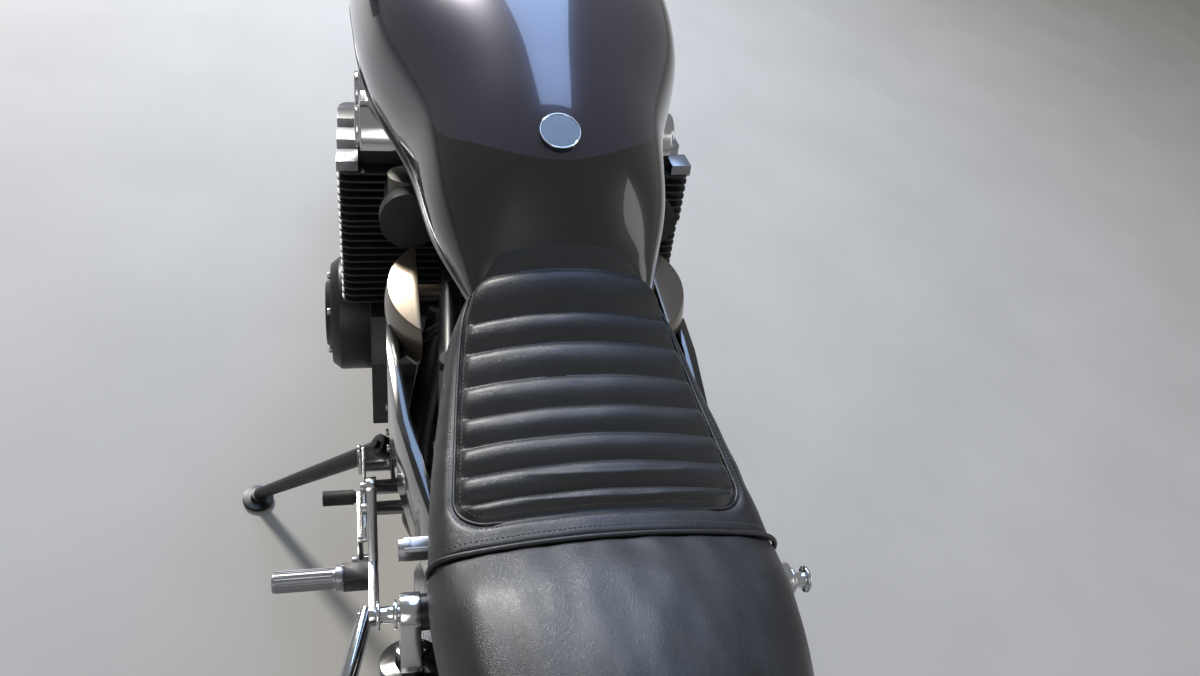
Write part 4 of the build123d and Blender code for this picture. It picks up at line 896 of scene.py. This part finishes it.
paintFaces("carburettors", finishes["grip_rubber"], lambda p: (toEngine @ p).x < -0.188)
paintFaces("cylinder_head", finishes["satin_alloy"],
           lambda p: (toEngine @ p).z > 0.2815 and abs(p.y) > 0.199 and (toEngine @ p).x < 0.03)
paintFaces("shock_bodies", finishes["polished_alloy"],
           lambda p: 0.1545 < abs(p.y) < 0.1725 and (p.z > 0.652 or nearAxis(p, 0.030, 0.330, 0.018)))
paintFaces("shock_bodies", finishes["chrome_tube"], lambda p: abs(p.y) >= 0.1725 and not 0.355 < p.z < 0.672)
paintFaces("foot_controls", finishes["grip_rubber"], lambda p: abs(p.y) > 0.2145 and nearAxis(p, 0.546, 0.320, 0.012))
paintFaces("footrests", finishes["caliper_black"], lambda p: abs(p.y) < 0.2305)


def makeScrew():
    # A socket cap screw of 5 mm head radius, sunk a little below Z = 0
    head = addRod(0.005, 0.005, 24, -0.0003)
    breakEdges(head, 0.0005)
    socket = addRod(0.006, 0.0026, 6, 0.0022)
    cut = head.modifiers.new("socket", "BOOLEAN")
    cut.object = socket
    cut.operation = "DIFFERENCE"
    activate(head)
    bpy.ops.object.modifier_apply(modifier="socket")
    bpy.data.objects.remove(socket)
    return head


# Rings of screws: middle x, y, z, direction in y, ring radius, count, size against a 5 mm head
screwRings = [
    (0.800, 0.244, 0.427, 1, 0.061, 6, 1.0), (0.800, -0.221, 0.427, -1, 0.044, 5, 0.8),
    (0.692, -0.227, 0.400, -1, 0.070, 8, 1.0), (0.616, 0.168, 0.376, 1, 0.047, 5, 1.0),
    (0.0, 0.104, 0.312, 1, 0.034, 5, 1.1), (0.0, -0.106, 0.312, -1, 0.031, 5, 1.0),
]
screws = {
    "hanger": [(0.462, 0.200, 0.450), (0.474, 0.200, 0.390), (0.443, 0.214, 0.320)],  # x, y to each side, z
    "camCoverX": (-0.056, 0.056), "camCoverY": (-0.150, -0.050, 0.050, 0.150), "camCoverZ": 0.3515,
    "capX": 0.905, "capZ": 0.983, "capRadius": 0.028,
}


def makeScrews():
    fixed, rear = [], []
    for x, y, z, side, radius, count, size in screwRings:
        for n in range(count):
            angle = 2 * math.pi * (n + 0.25) / count
            spot = (x + radius * math.cos(angle), y, z + radius * math.sin(angle))
            (rear if x == 0.0 else fixed).append(toRow @ aim(spot, (0, side, 0), angle, size))
    for x in screws["camCoverX"]:
        for y in screws["camCoverY"]:
            fixed.append(toRow @ aim(fromEngine @ Vector((x, y, screws["camCoverZ"])), (0.139, 0, 0.990), 0.3, 1.3))
    for x, y, z in screws["hanger"]:
        fixed += [toRow @ aim((x, side * y, z), (0, side, 0), 0.1, 1.5) for side in (-1, 1)]
    for n in range(5):
        angle, radius = 2 * math.pi * n / 5, screws["capRadius"]
        spot = (screws["capX"] + radius * math.cos(angle), radius * math.sin(angle), screws["capZ"])
        fixed.append(toRow @ aim(spot, (0, 0, 1), angle, 0.6))
    addCopies("engineScrews", makeScrew(), fixed, "chassis", "plain_steel", 35)
    addCopies("rearWheelScrews", makeScrew(), rear, "rear_wheel", "plain_steel", 35)


makeScrews()


# Long ribs round the rider's footrests, and rubber sleeves on the toe pegs
footrest = {"x": 0.408, "z": 0.340, "inner": 0.244, "length": 0.069, "radius": 0.0125, "ribs": 16, "rib": 0.0012}
toePeg = {"x": 0.546, "z": 0.320, "inner": 0.218, "length": 0.041, "radius": 0.0102}


def outwardPair(spec, x, z):
    # Places on both sides of the bike, pointing outward
    return [toRow @ aim((x, side * spec["inner"], z), (0, side, 0)) for side in (-1, 1)]


ribPlaces = []
for n in range(footrest["ribs"]):
    angle = 2 * math.pi * n / footrest["ribs"]
    ribPlaces += outwardPair(footrest, footrest["x"] + footrest["radius"] * math.cos(angle),
                             footrest["z"] + footrest["radius"] * math.sin(angle))
addCopies("footrestRibs", addRod(footrest["length"], footrest["rib"], 8), ribPlaces, "chassis", "footrest_alloy")
addCopies("toePegSleeves", addRod(toePeg["length"], toePeg["radius"], 32),
          outwardPair(toePeg, toePeg["x"], toePeg["z"]), "chassis", "grip_rubber")


# The steering head's frame as parked: Z up the steering axis, Y along the front axle
axle, steerUp = Vector(joints["front_wheel_spin"]["axis"]), Vector(joints["steering_turn"]["axis"])
steered = frameMatrix(axle.cross(steerUp), axle, steerUp, Vector(joints["steering_turn"]["pos_m"]))
bar = {"base": Vector((0.03889, 0.105, 0.752)), "run": Vector((-0.3, 0.945, 0.1)).normalized(), "grip": 0.130,
       "rings": 21, "ringStep": 0.0055, "ringRadius": 0.0165, "wire": 0.0009}


def addRing(radius, wire, around, across):
    bpy.ops.mesh.primitive_torus_add(major_segments=around, minor_segments=across, major_radius=radius,
                                     minor_radius=wire)
    return bpy.context.object


def makeGripRings():
    places = []
    for side in (-1, 1):
        run = Vector((bar["run"].x, side * bar["run"].y, bar["run"].z))
        base = Vector((bar["base"].x, side * bar["base"].y, bar["base"].z))
        places += [steered @ aim(base + run * (bar["grip"] + 0.006 + n * bar["ringStep"]), run)
                   for n in range(bar["rings"])]
    addCopies("gripRings", addRing(bar["ringRadius"], bar["wire"], 40, 8), places, "steering", "grip_rubber", 60)


makeGripRings()


def addBlock(middle, size):
    bpy.ops.mesh.primitive_cube_add(size=1.0)
    block = bpy.context.object
    block.data.transform(Matrix.Translation(middle) @ Matrix.Diagonal((*size, 1.0)))
    return block


dial = {"x": 0.104, "y": 0.050, "z": 0.722, "tilt": (-0.35, 0, 0.937), "rise": 0.008, "start": -135, "step": 15,
        "ticks": 19, "needle": -120}


def makeDials():
    # White ticks and one needle on each dark dial, without figures
    tilt = Vector(dial["tilt"]).normalized()
    places, needles = [], []
    for side in (-1, 1):
        face = Vector((dial["x"], side * dial["y"], dial["z"])) + tilt * dial["rise"]
        for n in range(dial["ticks"]):
            places.append(steered @ aim(face, tilt, math.radians(dial["start"] + n * dial["step"])))
        needles.append(steered @ aim(face, tilt, math.radians(dial["needle"])))
    white = startMaterial("whiteDialPaint", "#e8e8e2", 0.5)[0]
    tick = addBlock((0, 0.032, 0.0004), (0.0012, 0.006, 0.0008))
    addCopies("dialTicks", tick, places, "steering", "satin_plastic", 30, white)
    needle = addBlock((0, 0.012, 0.0016), (0.0016, 0.034, 0.0008))
    addCopies("dialNeedles", needle, needles, "steering", "satin_plastic", 30, white)


makeDials()

chain = {"rear": (0.0, 0.312), "front": (0.5944, 0.365), "pitch": 0.015875, "rearTeeth": 40, "frontTeeth": 17,
         "links": 104, "y": 0.096, "pinHalf": 0.0098, "headLength": 0.0032, "pinRadius": 0.0026}


def makeChainPins():
    # Rivet heads on both sides of every link, along the belt round both sprockets
    (x0, z0), (x1, z1) = chain["rear"], chain["front"]
    big, small = (chain["pitch"] / 2 / math.sin(math.pi / chain[teeth]) for teeth in ("rearTeeth", "frontTeeth"))
    apart, line = math.hypot(x1 - x0, z1 - z0), math.atan2(z1 - z0, x1 - x0)
    spread = math.acos((big - small) / apart)
    top, low = line + spread, line - spread
    run = math.sqrt(apart ** 2 - (big - small) ** 2)
    frontArc = 2 * spread * small
    total = sum([run, frontArc, run, 2 * (math.pi - spread) * big])

    def onRear(angle):
        return Vector((x0 + big * math.cos(angle), z0 + big * math.sin(angle)))

    def onFront(angle):
        return Vector((x1 + small * math.cos(angle), z1 + small * math.sin(angle)))

    def onBelt(s):
        if s < run:
            return onRear(top).lerp(onFront(top), s / run)
        s -= run
        if s < frontArc:
            return onFront(top - s / small)
        s -= frontArc
        return onFront(low).lerp(onRear(low), s / run) if s < run else onRear(low - (s - run) / big)

    places = []
    for n in range(chain["links"]):
        x, z = onBelt(total * n / chain["links"])
        for side in (-1, 1):
            start = chain["y"] + side * (chain["pinHalf"] - chain["headLength"])
            places.append(toRow @ aim((x, start, z), (0, side, 0)))
    addCopies("chainPins", addRod(chain["headLength"], chain["pinRadius"], 12), places, "chassis", "chain_steel")


makeChainPins()

badge = {"place": Vector((0.540, 0, 0.911)), "normal": Vector((-0.3746, 0, 0.9272)), "radius": 0.0203, "wire": 0.0009,
         "rise": 0.0014}
badgeRim = addRing(badge["radius"], badge["wire"], 96, 12)
badgeRim.name = "badgeRim"
badgeRim.data.transform(aim(badge["place"] + badge["normal"] * badge["rise"], badge["normal"]))
settle(badgeRim, "chassis", "badge", 60, finishes["chrome_tube"])
print("stage: trim made")

# Camera, floor and lights
view = {"place": (-1.0008, 0.3257, 1.4055), "yaw": -25.46, "pitch": 40.23, "roll": 22.36, "lens": 29.79}
studio = {"sky": 0.26, "target": (0.0, 0.0, 0.6)}
softboxes = [  # name, place, size along and across, energy, colour
    ("keyLight", (4.3, 1.9, 3.6), 0.8, 0.8, 400.0, (1.0, 0.96, 0.90)),
    ("skyStrip", (2.4, 0.0, 3.0), 5.0, 1.4, 110.0, (0.42, 0.62, 1.0)),
    ("sideLight", (-1.6, -3.2, 2.4), 2.6, 2.0, 26.0, (1.0, 1.0, 1.0)),
    ("backLight", (-3.6, 1.6, 2.6), 2.4, 1.6, 22.0, (1.0, 1.0, 1.0)),
]


def makeCamera():
    data = bpy.data.cameras.new("photoCamera")
    data.lens = view["lens"]
    data.sensor_width = 36.0
    camera = bpy.data.objects.new("photoCamera", data)
    bpy.context.scene.collection.objects.link(camera)
    yaw, pitch, roll = (math.radians(view[key]) for key in ("yaw", "pitch", "roll"))
    ahead = Vector((math.cos(yaw) * math.cos(pitch), math.sin(yaw) * math.cos(pitch), -math.sin(pitch)))
    level = ahead.cross(Vector((0, 0, 1))).normalized()
    above = level.cross(ahead)
    right = level * math.cos(roll) + above * math.sin(roll)
    up = above * math.cos(roll) - level * math.sin(roll)
    camera.matrix_world = frameMatrix(right, up, -ahead, view["place"])
    bpy.context.scene.camera = camera


def makeStudio():
    bpy.ops.mesh.primitive_circle_add(vertices=96, radius=14.0, fill_type="NGON")
    floor = bpy.context.object
    floor.name = "studioFloor"
    material, tree, shader, place = startMaterial("studioPaper", "#a6a4a0", 0.85)
    setColours(tree, shader, speckle(tree, place, 3), "#a4a29e", "#a9a7a3")
    floor.data.materials.append(material)
    for name, place, length, width, energy, colour in softboxes:
        lamp = bpy.data.lights.new(name, "AREA")
        lamp.shape = "RECTANGLE"
        lamp.size = width
        lamp.size_y = length
        lamp.energy = energy
        lamp.color = colour
        holder = bpy.data.objects.new(name, lamp)
        holder.location = place
        holder.rotation_euler = (Vector(studio["target"]) - Vector(place)).to_track_quat("-Z", "Y").to_euler()
        bpy.context.scene.collection.objects.link(holder)
    world = bpy.data.worlds.new("studioSky")
    bpy.context.scene.world = world
    world.use_nodes = True
    tree = world.node_tree
    sky = tree.nodes["Background"]
    sky.inputs["Color"].default_value = (1, 1, 1, 1)
    rays = addNode(tree, "ShaderNodeLightPath")
    strength = addNode(tree, "ShaderNodeMath", {0: rays.outputs["Is Camera Ray"], 1: 1.0 - studio["sky"],
                                                2: studio["sky"]}, operation="MULTIPLY_ADD").outputs[0]
    tree.links.new(strength, sky.inputs["Strength"])


makeCamera()
makeStudio()
bpy.context.scene.view_settings.view_transform = "Standard"
print("stage: studio made")
